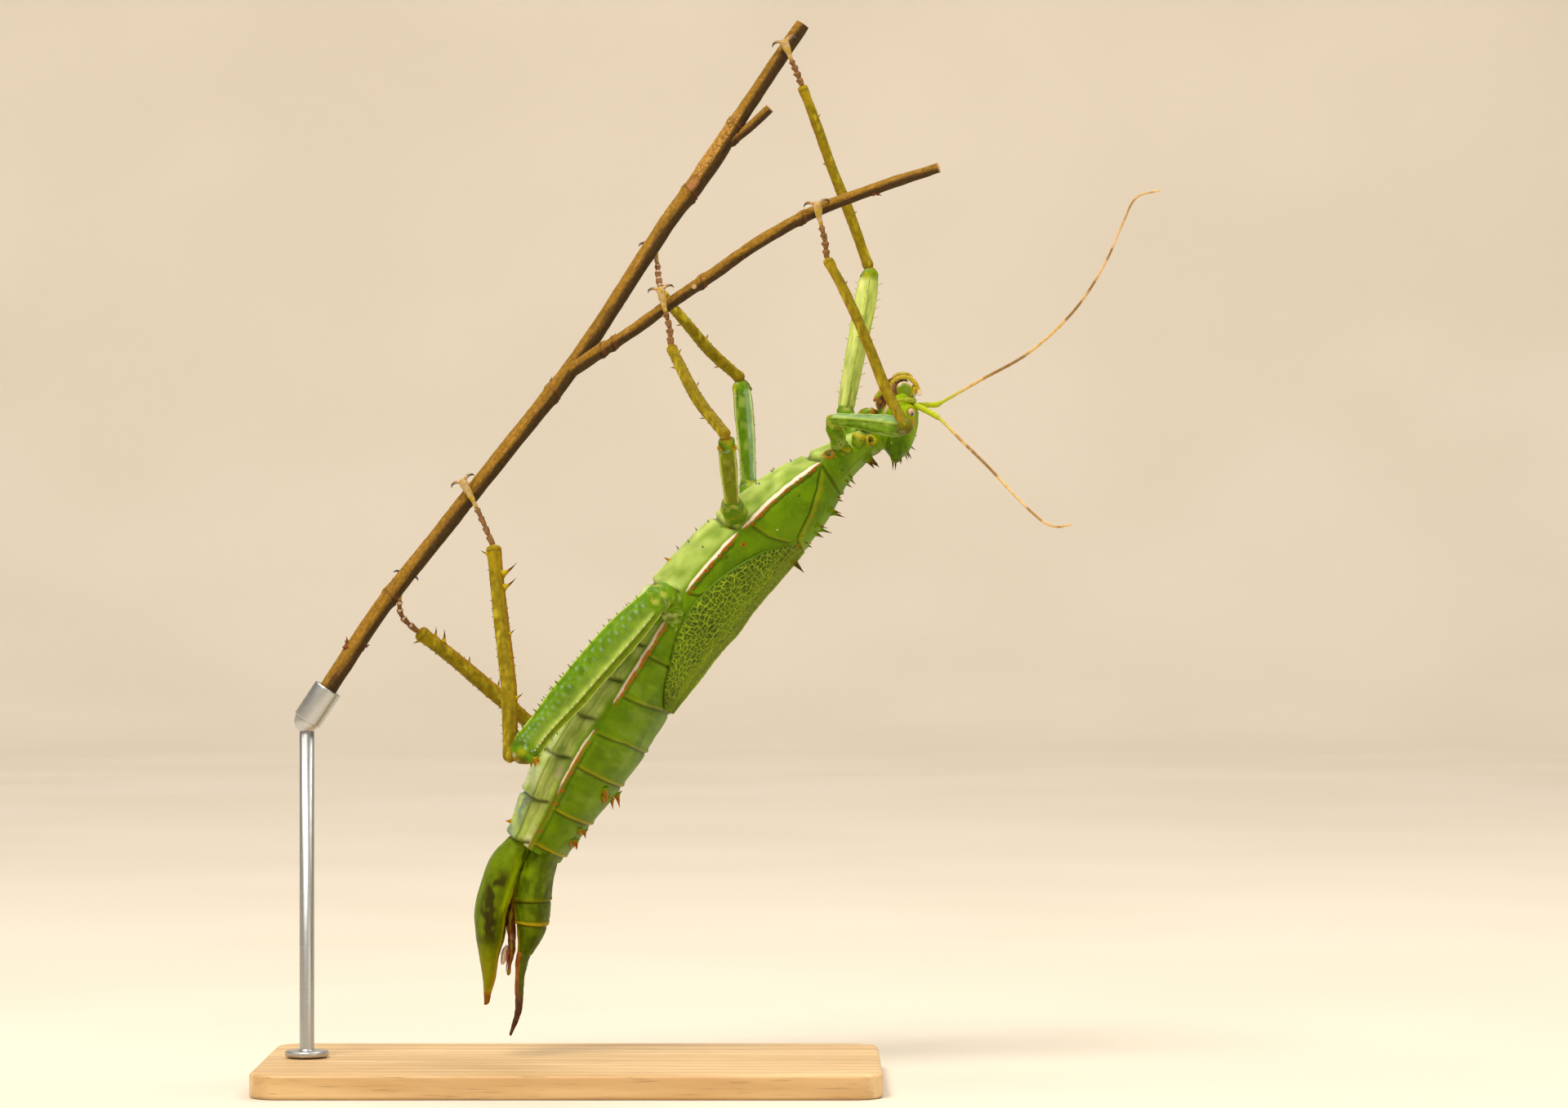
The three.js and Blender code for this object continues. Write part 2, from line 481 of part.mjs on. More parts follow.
function tibia(rows, spines, grow) {
  const line = curveOf(rows, 0);
  let solid = limb(rows, grow, 6, 8);
  for (const [share, side] of spines.places) {
    const along = line.getTangent(share);
    const sideways = new THREE.Vector3().crossVectors(ACROSS, along).normalize();
    const base = line.getPoint(share);
    const tip = base.clone().addScaledVector(sideways, side * (spines.length + SPINE_ROOT));
    tip.addScaledVector(along, TIBIA_SPINE_LEAN);
    solid = solid.add(spine(base, tip, SPINE_RADIUS));
  }
  return solid;
}

const LEG_ROOT = { fore: ['prothorax', 'mesothorax'], mid: ['mesothorax', 'metathorax'],
  hind: ['metathorax', 'abdomen_1', 'abdomen_2'] };
const TRUNK_NAMES = SEGMENTS.map(([name]) => name);
for (const [leg, parts] of Object.entries(LEGS)) {
  const pair = leg.split('_')[0];
  const side = leg.split('_')[1];
  piece(`coxa_${leg}`, 'green', (grow) => limb(parts.coxa, grow, 3, 10), LEG_ROOT[pair]);
  piece(`femur_${leg}`, 'green', (grow) => limb(parts.femur, grow, 6, 10), [`coxa_${leg}`, ...TRUNK_NAMES]);
  piece(`tibia_${leg}`, 'olive', (grow) => tibia(parts.tibia, TIBIA_SPINES[pair], grow),
    [`femur_${leg}`, 'head', `eye_${side}`, 'perch_stem', 'perch_branch']);
  piece(`tarsus_${leg}`, 'brown', (grow) => tarsus(parts.tarsus, parts.claws_towards, grow),
    [`tibia_${leg}`, 'perch_stem', 'perch_branch']);
}

piece('perch_stem', 'bark', (grow) => limb(STEM, grow, STEM_STEPS, 8).add(limb(SHOOT, grow, 3, 6)));
piece('perch_branch', 'bark', (grow) => limb(BRANCH, grow, 13, 8), ['perch_stem']);

// ---- Stand ----------------------------------------------------------------------------------

function baseOutline() {
  const x = BASE.length / 2 - BASE.chamfer;
  const y = BASE.width / 2 - BASE.chamfer;
  const r = BASE.corner;
  const outline = new THREE.Shape();
  outline.moveTo(-x + r, -y);
  outline.lineTo(x - r, -y);
  outline.absarc(x - r, -y + r, r, -Math.PI / 2, 0, false);
  outline.absarc(x - r, y - r, r, 0, Math.PI / 2, false);
  outline.absarc(-x + r, y - r, r, Math.PI / 2, Math.PI, false);
  outline.absarc(-x + r, -y + r, r, Math.PI, Math.PI * 1.5, false);
  return outline;
}

piece('stand_base', 'oak', () => {
  const plate = new THREE.ExtrudeGeometry(baseOutline(), {
    depth: BASE.thickness - 2 * BASE.chamfer,
    bevelThickness: BASE.chamfer,
    bevelSize: BASE.chamfer,
    bevelSegments: 1,
    curveSegments: 3,
  });
  plate.translate(0, 0, BASE.chamfer);
  return toSolid(plate);
});

// An upright rod with a flange at its foot and, over a ball, a tilted socket for the stem's end.
piece('stand_rod', 'steel', () => {
  const stemEnd = new THREE.Vector3(...STEM[0].slice(0, 3));
  const up = curveOf(STEM, 0).getTangent(0);
  const ball = stemEnd.clone().addScaledVector(up, -SOCKET.length + SOCKET.depth);
  const foot = BASE.thickness + GAP;
  const rodProfile = [
    [0, foot], [ROD.flange, foot], [ROD.flange, foot + ROD.flange_height - ROD.chamfer],
    [ROD.flange - ROD.chamfer, foot + ROD.flange_height], [ROD.radius, foot + ROD.flange_height],
    [ROD.radius, ball.z], [0, ball.z],
  ].map(([r, z]) => new THREE.Vector2(r, z));
  const rod = new THREE.LatheGeometry(rodProfile, 10);
  rod.rotateX(Math.PI / 2);
  rod.translate(ball.x, ball.y, 0);
  const joint = new THREE.SphereGeometry(ROD.ball, 8, 5);
  joint.translate(ball.x, ball.y, ball.z);
  const bore = STEM[0][3] + GAP;
  const outer = bore + SOCKET.wall;
  const bottom = SOCKET.length - SOCKET.depth - GAP;
  const cupProfile = [
    [0, 0], [outer - SOCKET.chamfer, 0], [outer, SOCKET.chamfer], [outer, SOCKET.length],
    [bore, SOCKET.length], [bore, bottom], [0, bottom],
  ].map(([r, z]) => new THREE.Vector2(r, z));
  const cup = new THREE.LatheGeometry(cupProfile, 9);
  cup.applyQuaternion(new THREE.Quaternion().setFromUnitVectors(new THREE.Vector3(0, 1, 0), up));
  cup.translate(ball.x, ball.y, ball.z);
  const solid = toSolid(rod).add(toSolid(joint)).add(toSolid(cup));
  return solid.subtract(limb(STEM, GAP, STEM_STEPS, 8));
});

// ---- The model ------------------------------------------------------------------------------

const model = new THREE.Group();
for (const [name, { colour, solid, makesRoomFor }] of pieces) {
  const shape = makesRoomFor.reduce((rest, other) => rest.subtract(pieces.get(other).solid(GAP)), solid(0));
  const material = new THREE.MeshStandardMaterial(COLOURS[colour]);
  const mesh = new THREE.Mesh(toGeometry(largestPart(shape)), material);
  mesh.name = name;
  model.add(mesh);
}

export default model;
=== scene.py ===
"""Dresses the still model of a green jungle nymph, a stick insect, on its twig and display stand.

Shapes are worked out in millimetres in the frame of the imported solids: +X from the tail to the
head, +Y from the animal's left side to its right, +Z up. They turn into metres as meshes are made.
"""
import functools
import itertools
import math

import bpy
import numpy as np
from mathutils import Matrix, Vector


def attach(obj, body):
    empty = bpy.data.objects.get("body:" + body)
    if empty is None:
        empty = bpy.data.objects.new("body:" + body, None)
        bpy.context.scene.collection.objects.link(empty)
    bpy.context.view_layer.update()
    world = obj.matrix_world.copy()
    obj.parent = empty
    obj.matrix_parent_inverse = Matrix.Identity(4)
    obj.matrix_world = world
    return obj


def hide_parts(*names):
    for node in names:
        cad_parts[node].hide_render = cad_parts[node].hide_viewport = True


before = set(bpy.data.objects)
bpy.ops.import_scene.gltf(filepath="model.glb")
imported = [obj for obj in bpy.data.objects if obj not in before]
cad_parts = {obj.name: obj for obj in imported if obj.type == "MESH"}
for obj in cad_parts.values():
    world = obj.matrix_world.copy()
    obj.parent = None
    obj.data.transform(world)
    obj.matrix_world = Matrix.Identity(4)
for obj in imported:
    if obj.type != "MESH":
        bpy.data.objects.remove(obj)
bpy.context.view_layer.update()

MM = 0.001
ROOT = "root"


def show(name, data):
    """A new object of the scene, made of the data."""
    thing = bpy.data.objects.new(name, data)
    bpy.context.scene.collection.objects.link(thing)
    return thing


def smooth_mesh(name, points, faces, finish):
    """A smooth mesh of points in metres with one finish."""
    mesh = bpy.data.meshes.new(name)
    mesh.from_pydata(points, [], faces)
    mesh.shade_smooth()
    mesh.materials.append(finish)
    return mesh


# ---- Camera ----

CAMERA_PLACE = (43.3, -1000, 108)  # level with the animal's chest, looking along +Y
CAMERA_LENS = 112.5
CAMERA_SENSOR = 36


def add_camera():
    """The camera that the model is seen through."""
    lens = bpy.data.cameras.new("camera")
    lens.lens = CAMERA_LENS
    lens.sensor_width = CAMERA_SENSOR
    camera = show("camera", lens)
    camera.location = Vector(CAMERA_PLACE) * MM
    camera.rotation_euler = (math.pi / 2, 0, 0)
    bpy.context.scene.camera = camera


add_camera()

# ---- Measures ----

ROLL = math.radians(12)  # how far the back turns towards the left side
ACROSS = np.array([0, 1, 0])

# The trunk from the neck to the end of abdomen segment 7: [x, z, half width, back, belly].
TRUNK = [
    [62.4, 130.4, 4.6, 0.7, 4.2], [57.6, 127.8, 6.5, 2.4, 4.6], [52.2, 125.2, 7.8, 5.6, 4.6],
    [45.9, 120.2, 10.5, 8.4, 6.6], [38.6, 112.6, 13, 8.8, 8.5], [32, 105.7, 14, 7.4, 9.3],
    [26, 98.5, 14, 6.9, 10], [21.6, 91.8, 14.5, 6.5, 10.4], [17.4, 84.6, 15.5, 6.3, 10.8],
    [12.8, 77, 16.5, 6.3, 11], [7.6, 69.5, 17, 6.8, 11], [2.9, 62.2, 15.5, 6.3, 10.8],
    [-1.4, 55, 13, 5.2, 9.4], [-6.3, 47.2, 10, 4.2, 7.4],
]
LAST_STATION = len(TRUNK) - 1
BACK_ROUNDNESS = 1.15

# The folded fore wings: [trunk station, half width, ridge height, edge height].
WINGS = [
    [3.72, 5.2, 9.1, 8], [3.95, 8, 9.3, 6.8], [4.25, 10.2, 9.5, 5.7], [4.75, 11.7, 9.7, 4.5],
    [5.4, 12.7, 9.9, 3.2], [6.05, 13.2, 10.3, 2.6], [6.9, 13.2, 9.2, 2.9], [7.6, 11.8, 8.4, 4.3],
    [8.2, 9.5, 7.6, 5.4], [8.7, 4.2, 7.2, 6.7],
]
WING_SQUARENESS = 2.2
TEGMEN_THICKNESS = 0.7

PAINTS = ("pale", "rust", "dark", "blue", "gold", "bright")

# Places on the trunk: a station, and a turn that is 0 at the side keels, 1 at the middle of the
# back and -1 at the middle of the belly. A border that slants is a list of (turn, station).
STATION_MM = 8  # about how far apart the stations are
KEELS = [  # first and last station, width in millimetres, and whether it is brown
    (2.25, 4.1, 0.75, False), (4.5, 5.85, 0.6, False), (6.9, 9, 0.6, False), (10, 11.4, 0.4, False),
    (11.4, 13, 0.3, True),
]
KEEL_TUBERCLES = [(2.3, 4.1, 1.5), (4.6, 6.1, 1.6), (7, 8.9, 1.5), (9.2, 10.4, 2.6), (10.6, 12.8, 3.1)]
BACK_BORDERS = [  # border, and how yellow its rim is
    ([(0, 2.07), (1, 2.07)], 0.1), ([(0, 4.05), (0.28, 3.98), (0.57, 3.8), (0.66, 3.64), (1, 3.75)], 0.3),
    ([(0, 6.02), (0.14, 5.9), (0.2, 5.7), (1, 5.7)], 0.1), ([(0, 6.85), (1, 6.85)], 0.1),
    ([(0, 7.8), (1, 7.75)], 0.2), ([(0, 8.9), (0.86, 8.74), (1, 8.74)], 0.35),
    ([(0, 9.91), (0.46, 9.76), (1, 9.74)], 0.3), ([(0, 10.78), (1, 10.75)], 0.7),
    ([(0, 11.98), (1, 11.95)], 0.8), ([(0, 12.86), (1, 12.86)], 1),
]
BACK_SUTURES = [  # path of (station, turn), first and last station, depth
    ([(2.1, 0.05), (2.56, 0.32), (3.12, 0.51), (3.64, 0.64)], 2.15, 3.66, 1),
    ([(0, 0.35), (1, 0.5), (2, 0.55)], 0.3, 1.8, 0.3),
]
BELLY_BORDERS = (2.02, 4.3, 6.1, 6.75, 7.6, 8.58, 9.65, 10.68, 11.85, 12.88)
BELLY_SPOTS = ((-0.5, 0.35), (-0.42, 0.7))  # turn, and stations before a border
# Spines of both sides, by the paints of tip and collar: station, turn, length, root radius, and
# lean towards the tail.
BODY_SPINES = {
    ("dark", None): [
        (0.56, 0.82, 3.1, 0.85, -0.1), (0.62, 0.92, 2.7, 0.7, 0.1), (1.42, 0.75, 1.7, 0.35, 0.1),
        (1.6, 0.78, 1.5, 0.32, 0.05), (2.62, 0.86, 3, 0.5, -0.12), (3.15, 0.8, 2.7, 0.42, -0.3),
        (3.3, 0.9, 1.9, 0.32, -0.25), (3.58, 0.85, 1.2, 0.3, -0.2), (3.98, 0.9, 3.6, 0.85, 0)],
    ("dark", "rust"): [(2.22, 0.84, 1.2, 0.28, -0.1)],
    ("rust", "gold"): [
        (3.72, 0.8, 1.2, 0.5, 0.4), (2.47, 0.37, 0.55, 0.3, 0), (2.75, 0.47, 0.6, 0.32, 0),
        (3.09, 0.56, 0.75, 0.35, 0), (3.52, 0.68, 0.7, 0.35, 0), (5.72, -0.62, 1.6, 0.4, 0.2),
        (12.75, -0.72, 1.5, 0.6, 0.2)],
    ("pale", "gold"): [(3.77, 0.3, 0.5, 0.32, 0)],
    ("dark", "blue"): [
        (2.59, -0.53, 1, 0.26, 0.2), (3.06, -0.5, 1.1, 0.26, 0.2), (3.02, -0.55, 0.9, 0.24, 0.2),
        (3.37, -0.4, 1, 0.26, 0.2), (3.4, -0.46, 1.2, 0.26, 0.2), (3, -0.8, 0.9, 0.24, 0.1),
        (4.62, -0.5, 1.1, 0.26, -0.2), (4.9, -0.6, 1.2, 0.28, -0.2), (5.05, -0.2, 0.9, 0.26, -0.1),
        (5.2, -0.48, 1.2, 0.28, -0.2), (5.44, -0.6, 1.4, 0.3, -0.2)],
    ("rust", None): [
        (10.96, 0.67, 3, 0.75, 0.7), (11.15, 0.74, 2.2, 0.5, 0.8), (11.05, 0.92, 1.3, 0.35, 0.5),
        (12.14, 0.8, 1.6, 0.6, 0.7), (12.38, 0.9, 1.9, 0.5, 0.8), (12.45, 0.78, 1.6, 0.45, 0.8),
        (12.1, 0.95, 1, 0.3, 0.6)],
}
# Rings with a dark middle and small pits: station, turn, radius in millimetres and paint.
TRUNK_RINGS = [(1.76, -0.11, 0.75, "rust"), (0.18, -0.05, 0.85, "gold"), (4.45, 0.13, 0.35, "rust")]
# Soft lobes about the roots of the legs: place, direction of the pole, half sizes, and paints.
LOBES = [
    ((58.3, -5.9, 131.2), (0.3, -0.4, 1), (1.3, 1.1, 1.9), (("gold", 0.7), ("bright", 0.3))),
    ((55.4, -6.8, 128.9), (0.3, -0.6, 1), (1.6, 1.3, 1.7), (("gold", 0.4), ("dark", 0.4))),
    ((60.4, 3.6, 136.2), (1, 0, 0.3), (1.7, 2, 2.4), (("rust", 0.6), ("bright", 0.5))),
    ((59.9, -3.2, 134.8), (1, 0, 0.3), (1.6, 1.9, 2.2), (("rust", 0.6), ("bright", 0.5))),
    ((58.6, 6.2, 131.6), (0.3, 0.4, 1), (1.3, 1.1, 1.9), (("gold", 0.7), ("bright", 0.3))),
    ((37.4, -9.6, 111.2), (0.6, -0.3, 1), (1.9, 1.5, 2.2), (("gold", 0.5), ("bright", 0.4))),
    ((31.6, -9.9, 111.4), (-0.5, -0.3, 1), (2.1, 1.7, 2.6), (("rust", 0.4), ("bright", 0.3))),
    ((40.2, 9.4, 113.2), (0.6, 0.3, 1), (1.9, 1.5, 2.2), (("gold", 0.5), ("bright", 0.4))),
    ((34.2, 9.4, 113.6), (-0.5, 0.3, 1), (2.1, 1.7, 2.6), (("rust", 0.4), ("bright", 0.3))),
    ((20.6, -12.9, 94.6), (-0.3, -0.2, 1), (1.9, 1.7, 2.5), (("bright", 0.5), ("dark", 0.5))),
    ((17.2, -13, 95.2), (-0.6, -0.2, 1), (1.1, 1.4, 2.2), (("bright", 0.3), ("gold", 0.3))),
    ((24, 12.9, 97.6), (-0.3, 0.2, 1), (1.9, 1.7, 2.5), (("bright", 0.5), ("dark", 0.5))),
]
TRUNK_PITS = [(1.57, 0.38, 0.35), (3, 0.2, 0.3), (4.9, 0.1, 0.4)]
TRUNK_NODES = ["prothorax", "mesothorax", "metathorax", *(f"abdomen_{number}" for number in range(1, 8))]

# The wings' long lines, as (share of the length, side).
WING_FOLD = [(0, 0.95), (0.14, 0.76), (0.27, 0.44), (0.35, 0.3), (0.54, 0.3), (0.64, 0.25), (1, 0.12)]
WING_RIBS = (0.97, 0.86, 0.74, 0.62, 0.5, 0.38, 0.26, 0.14)

# The tail, in the plane of the body: [x, z, half depth in that plane, half width across it].
TAIL_END = [
    [-5, 50.5, 2.6, 8.4], [-5.7, 47.4, 3.3, 8.6], [-7.3, 42.6, 3.7, 8.2], [-8, 38.4, 3.8, 7.4],
    [-8, 35, 3.6, 6.8], [-8.1, 32.4, 3.2, 6.1], [-8.6, 29.6, 2.4, 4.9], [-9.4, 27, 1.55, 3.2],
]
BEAK = [[-8.9, 29, 1.7, 3.3], [-9.8, 26.2, 1.35, 2.6], [-10.5, 21.8, 0.9, 1.5], [-10.9, 14.4, 0.6, 0.9],
        [-12.4, 10, 0.17, 0.2]]
SUBGENITAL_PLATE = [
    [-9, 51.2, 1.8, 6.2], [-10.8, 48.2, 3, 7], [-13.4, 44.2, 3.7, 7.6], [-15.2, 39.4, 3.6, 7.4],
    [-16.4, 35.2, 3.4, 6.8], [-16.7, 31, 2.9, 5.6], [-16.9, 26.8, 2.1, 3.9], [-17, 21.8, 1.2, 2.2],
    [-17.6, 17, 0.35, 0.5],
]
TAIL_BORDERS = ((0.475, 0.2), (0.715, 1))  # place, and how yellow the rim is
TAIL_KEELS = (25, 335)
PLATE_RIMS = (150, 210)
INNER_VALVES = [
    [-11.9, 37.4, 0.7, 1.6], [-12.4, 32.6, 0.9, 2], [-12.2, 27.6, 0.7, 1.4], [-12.9, 22.8, 0.3, 0.4],
]
VALVE_LUMP = (-13.7, 0, 26.2)  # x, y, z
FILAMENTS = ((-12.9, -1.1, 27), (-12.3, -0.2, 27), (-12.9, 0.9, 27))  # roots

# The head from the mouth to the pointed crown: [x, y, z, half depth front to back, half width].
HEAD = [
    [67.4, 1, 140, 1.9, 2.9], [66.8, 0.9, 138.6, 3.5, 3.9], [66.7, 0.6, 136.4, 4.1, 4.9],
    [66.9, 0.1, 134.2, 3.75, 5.2], [66.5, -0.5, 131.4, 3.3, 4.7], [66.3, -1, 129.2, 2.5, 3.3],
    [66.1, -1.3, 127.6, 1.1, 1.5],
]
NECK = [[59, -0.2, 130.2, 2.4, 3.6], [62.6, -0.3, 131.9, 2.8, 3.7], [66, -0.3, 133.2, 2.6, 3.4]]
HEAD_MIDDLE, MOUTH_MIDDLE = 0.9, 1.3  # places along Y
EYE = {"place": (69, 4.35, 136.7), "radius": 0.98}
CHEEK_EDGE = ([134, 136, 139.4], [62.7, 62.9, 64.8])  # z, x
MOUTH_GROOVE = ([64.5, 71], [139.6, 138.9])  # x, z
CHEEK_PATCH = (69.6, 134.7)  # x, z
CHEEK_STREAK = (65.1, 130.4)
JAW = {"place": (67.75, 1.75, 141.2), "sizes": (1.95, 1.75, 1.25)}
LIP = {"place": (69.9, MOUTH_MIDDLE, 141.4), "sizes": (0.7, 1.9, 2)}
MOUTH_HOLLOW = [
    [64.7, 1, 137.4, 2.2, 3.2], [64.9, 1.1, 139.6, 2.5, 3.3], [66.3, 1.4, 142, 2.4, 2.4],
    [67.4, 1.6, 143.2, 1.5, 1.6],
]
BROW = [[66.2, -3, 139.2, 0.45, 0.45], [68.8, -2.2, 139.3, 0.6, 0.5], [69.9, 0.9, 139.3, 0.6, 0.5],
        [68.8, 4, 139.3, 0.6, 0.5], [66.2, 4.8, 139.2, 0.45, 0.45]]
LONG_PALP = [(65, 141.6), (65.3, 142.8), (66.3, 143.75), (67.5, 144.1), (68.8, 143.9), (69.9, 143),
             (70.7, 141.6), (71, 140.7)]  # x, z
# The short palps: [x, distance from the head's middle, z, half depth, half width].
HOOKED_PALP = [
    [65, 2.1, 139.6, 0.5, 0.5], [64.3, 2.9, 141.2, 0.6, 0.55], [63.2, 2.9, 141, 0.62, 0.55],
    [62.3, 3.1, 140.2, 0.5, 0.45], [61.9, 3.2, 139.5, 0.36, 0.34],
]
STUB_PALP = [[64.8, 1.5, 138.4, 0.5, 0.5], [63.8, 1.7, 139.2, 0.55, 0.5], [62.9, 1.8, 139, 0.4, 0.4]]
# Spines of the crown: root, tip, radius and the paint of the collar.
CROWN_SPINES = [
    ((65.5, -1.7, 127.8), (65.45, -2.4, 124.9), 0.42, None),
    ((66.1, -0.6, 127.6), (66, -0.7, 124.9), 0.42, None),
    ((67, -1.6, 127.9), (67.3, -1.9, 126.3), 0.32, None),
    ((67.9, -1.2, 128.6), (68.5, -1.6, 127), 0.32, "blue"),
    ((68.4, -0.6, 128.9), (69.4, -0.8, 127.3), 0.32, None),
    ((68.9, -1, 130.1), (70.2, -1.2, 129.1), 0.3, "blue"),
    ((69.6, -1.4, 132.3), (70.5, -1.6, 132), 0.22, None),
    ((68.3, 1.2, 128.8), (69, 1.6, 127.4), 0.3, None), ((66.9, 0.6, 127.8), (67.1, 0.9, 126.2), 0.3, None),
]

# Feelers: [x, y, z, radius].
ANTENNAE = {
    "antenna_left": [
        [69.6, -0.6, 138.4, 0.5], [70.9, -1.6, 137.9, 0.62], [72.6, -2.9, 137, 0.6],
        [74.2, -4.4, 136, 0.58], [75.2, -5.2, 135.2, 0.34], [79, -8, 131.2, 0.32],
        [84.3, -13, 125.7, 0.3], [90.4, -18, 118.9, 0.28], [95.1, -22.5, 114.4, 0.25],
        [97.6, -25, 113.4, 0.23], [100.3, -27, 113.8, 0.2]],
    "antenna_right": [
        [69.6, 2, 138.2, 0.5], [71.1, 2.4, 138.4, 0.58], [73, 2.9, 138.5, 0.58], [74.6, 3.2, 138.6, 0.6],
        [75.8, 3.3, 139.2, 0.34], [83.5, 4.2, 143.6, 0.32], [93.5, 5, 149.3, 0.3],
        [103.1, 5, 158.3, 0.28], [109.2, 4.2, 167.8, 0.25], [112.7, 3.4, 175.8, 0.23],
        [115.4, 2.4, 180.9, 0.21], [120.1, 2, 182.4, 0.2]],
}
ANTENNA_FIRST_JOINTS = (3.6, 6.2, 7.6)  # millimetres along
ANTENNA_PITCH = 1.9  # between the joints after them

# Legs: [x, y, z, half depth in the plane of the body, half thickness across]. claws is the side
# of the twig that the claws reach round to.
LEGS = {
    "fore_left": {
        "coxa": [[55, -4.5, 128.8, 1.7, 1.7], [53.4, -9.4, 133.4, 1.7, 1.7]],
        "femur": [[53, -11.4, 135.2, 0.95, 0.95], [58.6, -17.4, 134.6, 1.3, 1.2],
                  [64.2, -23.8, 133.6, 1.9, 1.5], [67.4, -27.4, 133.2, 1.6, 1.4]],
        "tibia": [[67.3, -28.3, 133.4, 0.8, 0.8], [63.8, -25, 140.3, 1, 0.9],
                  [59.3, -21.4, 151.8, 0.9, 0.9], [55.5, -18.8, 160.4, 0.9, 0.9],
                  [52.2, -17, 166.8, 0.8, 0.8]],
        "tarsus": [[51.9, -17, 167.6], [51.5, -17.2, 171], [50.6, -17.6, 174.6], [49.9, -17.8, 178.2]],
        "claws": 1},
    "fore_right": {
        "coxa": [[58.2, 4.5, 130.4, 1.7, 1.7], [56.4, 9, 135.6, 1.7, 1.7]],
        "femur": [[55.9, 10, 137.6, 1.5, 1.3], [57.8, 10.2, 148, 1.7, 1.4], [59.9, 10.4, 159, 2, 1.5],
                  [60.9, 10.6, 165.6, 1.7, 1.4]],
        "tibia": [[60.6, 10.8, 167.6, 0.9, 0.9], [56.1, 11.6, 180.3, 1, 0.9], [52.8, 12, 188.8, 0.9, 0.9],
                  [50.1, 12, 196.5, 0.9, 0.9], [47.2, 11.9, 204.2, 0.8, 0.8]],
        "tarsus": [[46.9, 11.9, 205], [45.8, 11.8, 207.8], [44.6, 11.8, 210.6], [43.4, 12, 213.8]],
        "claws": 1},
    "mid_left": {
        "coxa": [[35.6, -7, 112.4, 2.5, 2.4], [32.8, -12.8, 117.4, 2.4, 2.3]],
        "femur": [[32.8, -14.6, 118.6, 1.5, 1.4], [32.5, -18.6, 122.4, 1.7, 1.4],
                  [32.1, -23, 126.8, 1.9, 1.5], [31.9, -26.2, 130, 1.8, 1.5]],
        "tibia": [[31.6, -27.4, 131.8, 1, 1], [26.2, -22, 138.7, 1.1, 1],
                  [22.6, -16.6, 145.5, 1, 0.9], [20.7, -12.6, 149.4, 0.9, 0.8]],
        "tarsus": [[20.5, -12.2, 150.2], [20.2, -11.4, 153.8], [19.2, -11.2, 157.6], [18.4, -10.8, 161.4]],
        "claws": 1},
    "mid_right": {
        "coxa": [[38.6, 7, 115, 2.5, 2.4], [36.5, 11.6, 120.2, 2.4, 2.3]],
        "femur": [[36, 12.4, 122.4, 1.7, 1.5], [35.6, 13.4, 130, 1.9, 1.6], [35, 14.4, 137.6, 2.1, 1.6],
                  [34.6, 15, 142.6, 1.8, 1.5]],
        "tibia": [[34, 15, 144.6, 1, 1], [28.1, 10.6, 149.8, 1.1, 1], [23.4, 5, 155.2, 1, 0.9],
                  [18.6, 4.2, 160.8, 0.9, 0.8]],
        "tarsus": [[18.2, 5, 161.8], [17.4, 9.6, 165], [17, 12.8, 168.6], [15.8, 14.4, 172.4]],
        "claws": -1},
    "hind_left": {
        "coxa": [[23.6, -8, 94.8, 2.8, 2.6], [18.9, -15.2, 99.8, 2.5, 2.3]],
        "femur": [[17.3, -17, 98.6, 2.6, 1.9], [9.6, -18.2, 90.4, 3.5, 2.2], [0.4, -19, 79.8, 3.3, 2.1],
                  [-5.4, -18.6, 73, 2.7, 1.9], [-9, -18.2, 68.4, 3, 2]],
        "tibia": [[-11.6, -18.2, 67.6, 1.3, 1.2], [-12, -14, 79.8, 1.5, 1.2],
                  [-14.2, -7, 96.2, 1.4, 1.1], [-15.8, -2.2, 109, 1.3, 1]],
        "tarsus": [[-16.1, -1.8, 110], [-17.8, -1, 114], [-19.9, -0.2, 118.4], [-22.3, 0.1, 122.8]],
        "claws": 1},
    "hind_right": {
        "coxa": [[26.8, 8, 98.2, 2.8, 2.6], [22.4, 14.6, 103.2, 2.5, 2.3]],
        "femur": [[20.9, 16.6, 101.8, 2.6, 1.9], [12.6, 18, 92.6, 3.5, 2.2], [3.4, 18.8, 82, 3.3, 2.1],
                  [-3.6, 18.4, 74.6, 2.6, 1.9], [-6.8, 18, 70.9, 2.8, 2]],
        "tibia": [[-9, 17.6, 72.4, 1.3, 1.2], [-17.5, 14.4, 79.9, 1.5, 1.2], [-24.6, 11.8, 86.2, 1.4, 1.1],
                  [-31.4, 9.4, 91.6, 1.3, 1]],
        "tarsus": [[-32.4, 9, 92.2], [-35.4, 8.2, 95.4], [-35.6, 7, 99.4], [-34.2, 5.6, 103.4]],
        "claws": -1},
}
FEMUR_SQUARE = {"fore_left": 1.05, "fore_right": 1.05}
FEMUR_RIDGES = {
    "fore": (0, 90, 180, 270), "fore_left": (10, 80, 175, 254), "mid": (45, 135, 225, 315),
    "hind": (12, 168, 192, 348)}
# The faces of a femur: turn, half width in degrees, paint, share.
FEMUR_FACES = {
    "fore_left": [(214, 34, "blue", 0.32), (290, 30, "bright", 0.08), (135, 42, "bright", 0.1)],
    "fore_right": [
        (225, 42, "bright", 0.95), (225, 20, "pale", 0.2), (315, 42, "bright", 0.8),
        (45, 42, "bright", 0.5)],
    "mid_left": [
        (180, 42, "bright", 0.2), (270, 42, "rust", 0.24), (300, 44, "dark", 0.3), (0, 42, "bright", 0.1)],
    "mid_right": [
        (180, 40, "dark", 0.4), (250, 30, "dark", 0.2), (0, 42, "blue", 0.5), (310, 35, "blue", 0.42)],
}
FEMUR_SPINES = {"fore_right": 0.8, "mid_left": 0.5, "mid_right": 0.8}  # length in millimetres
HIND_SCALES = (0.05, 0.93, 0.021)  # first, last and step, as shares of the length
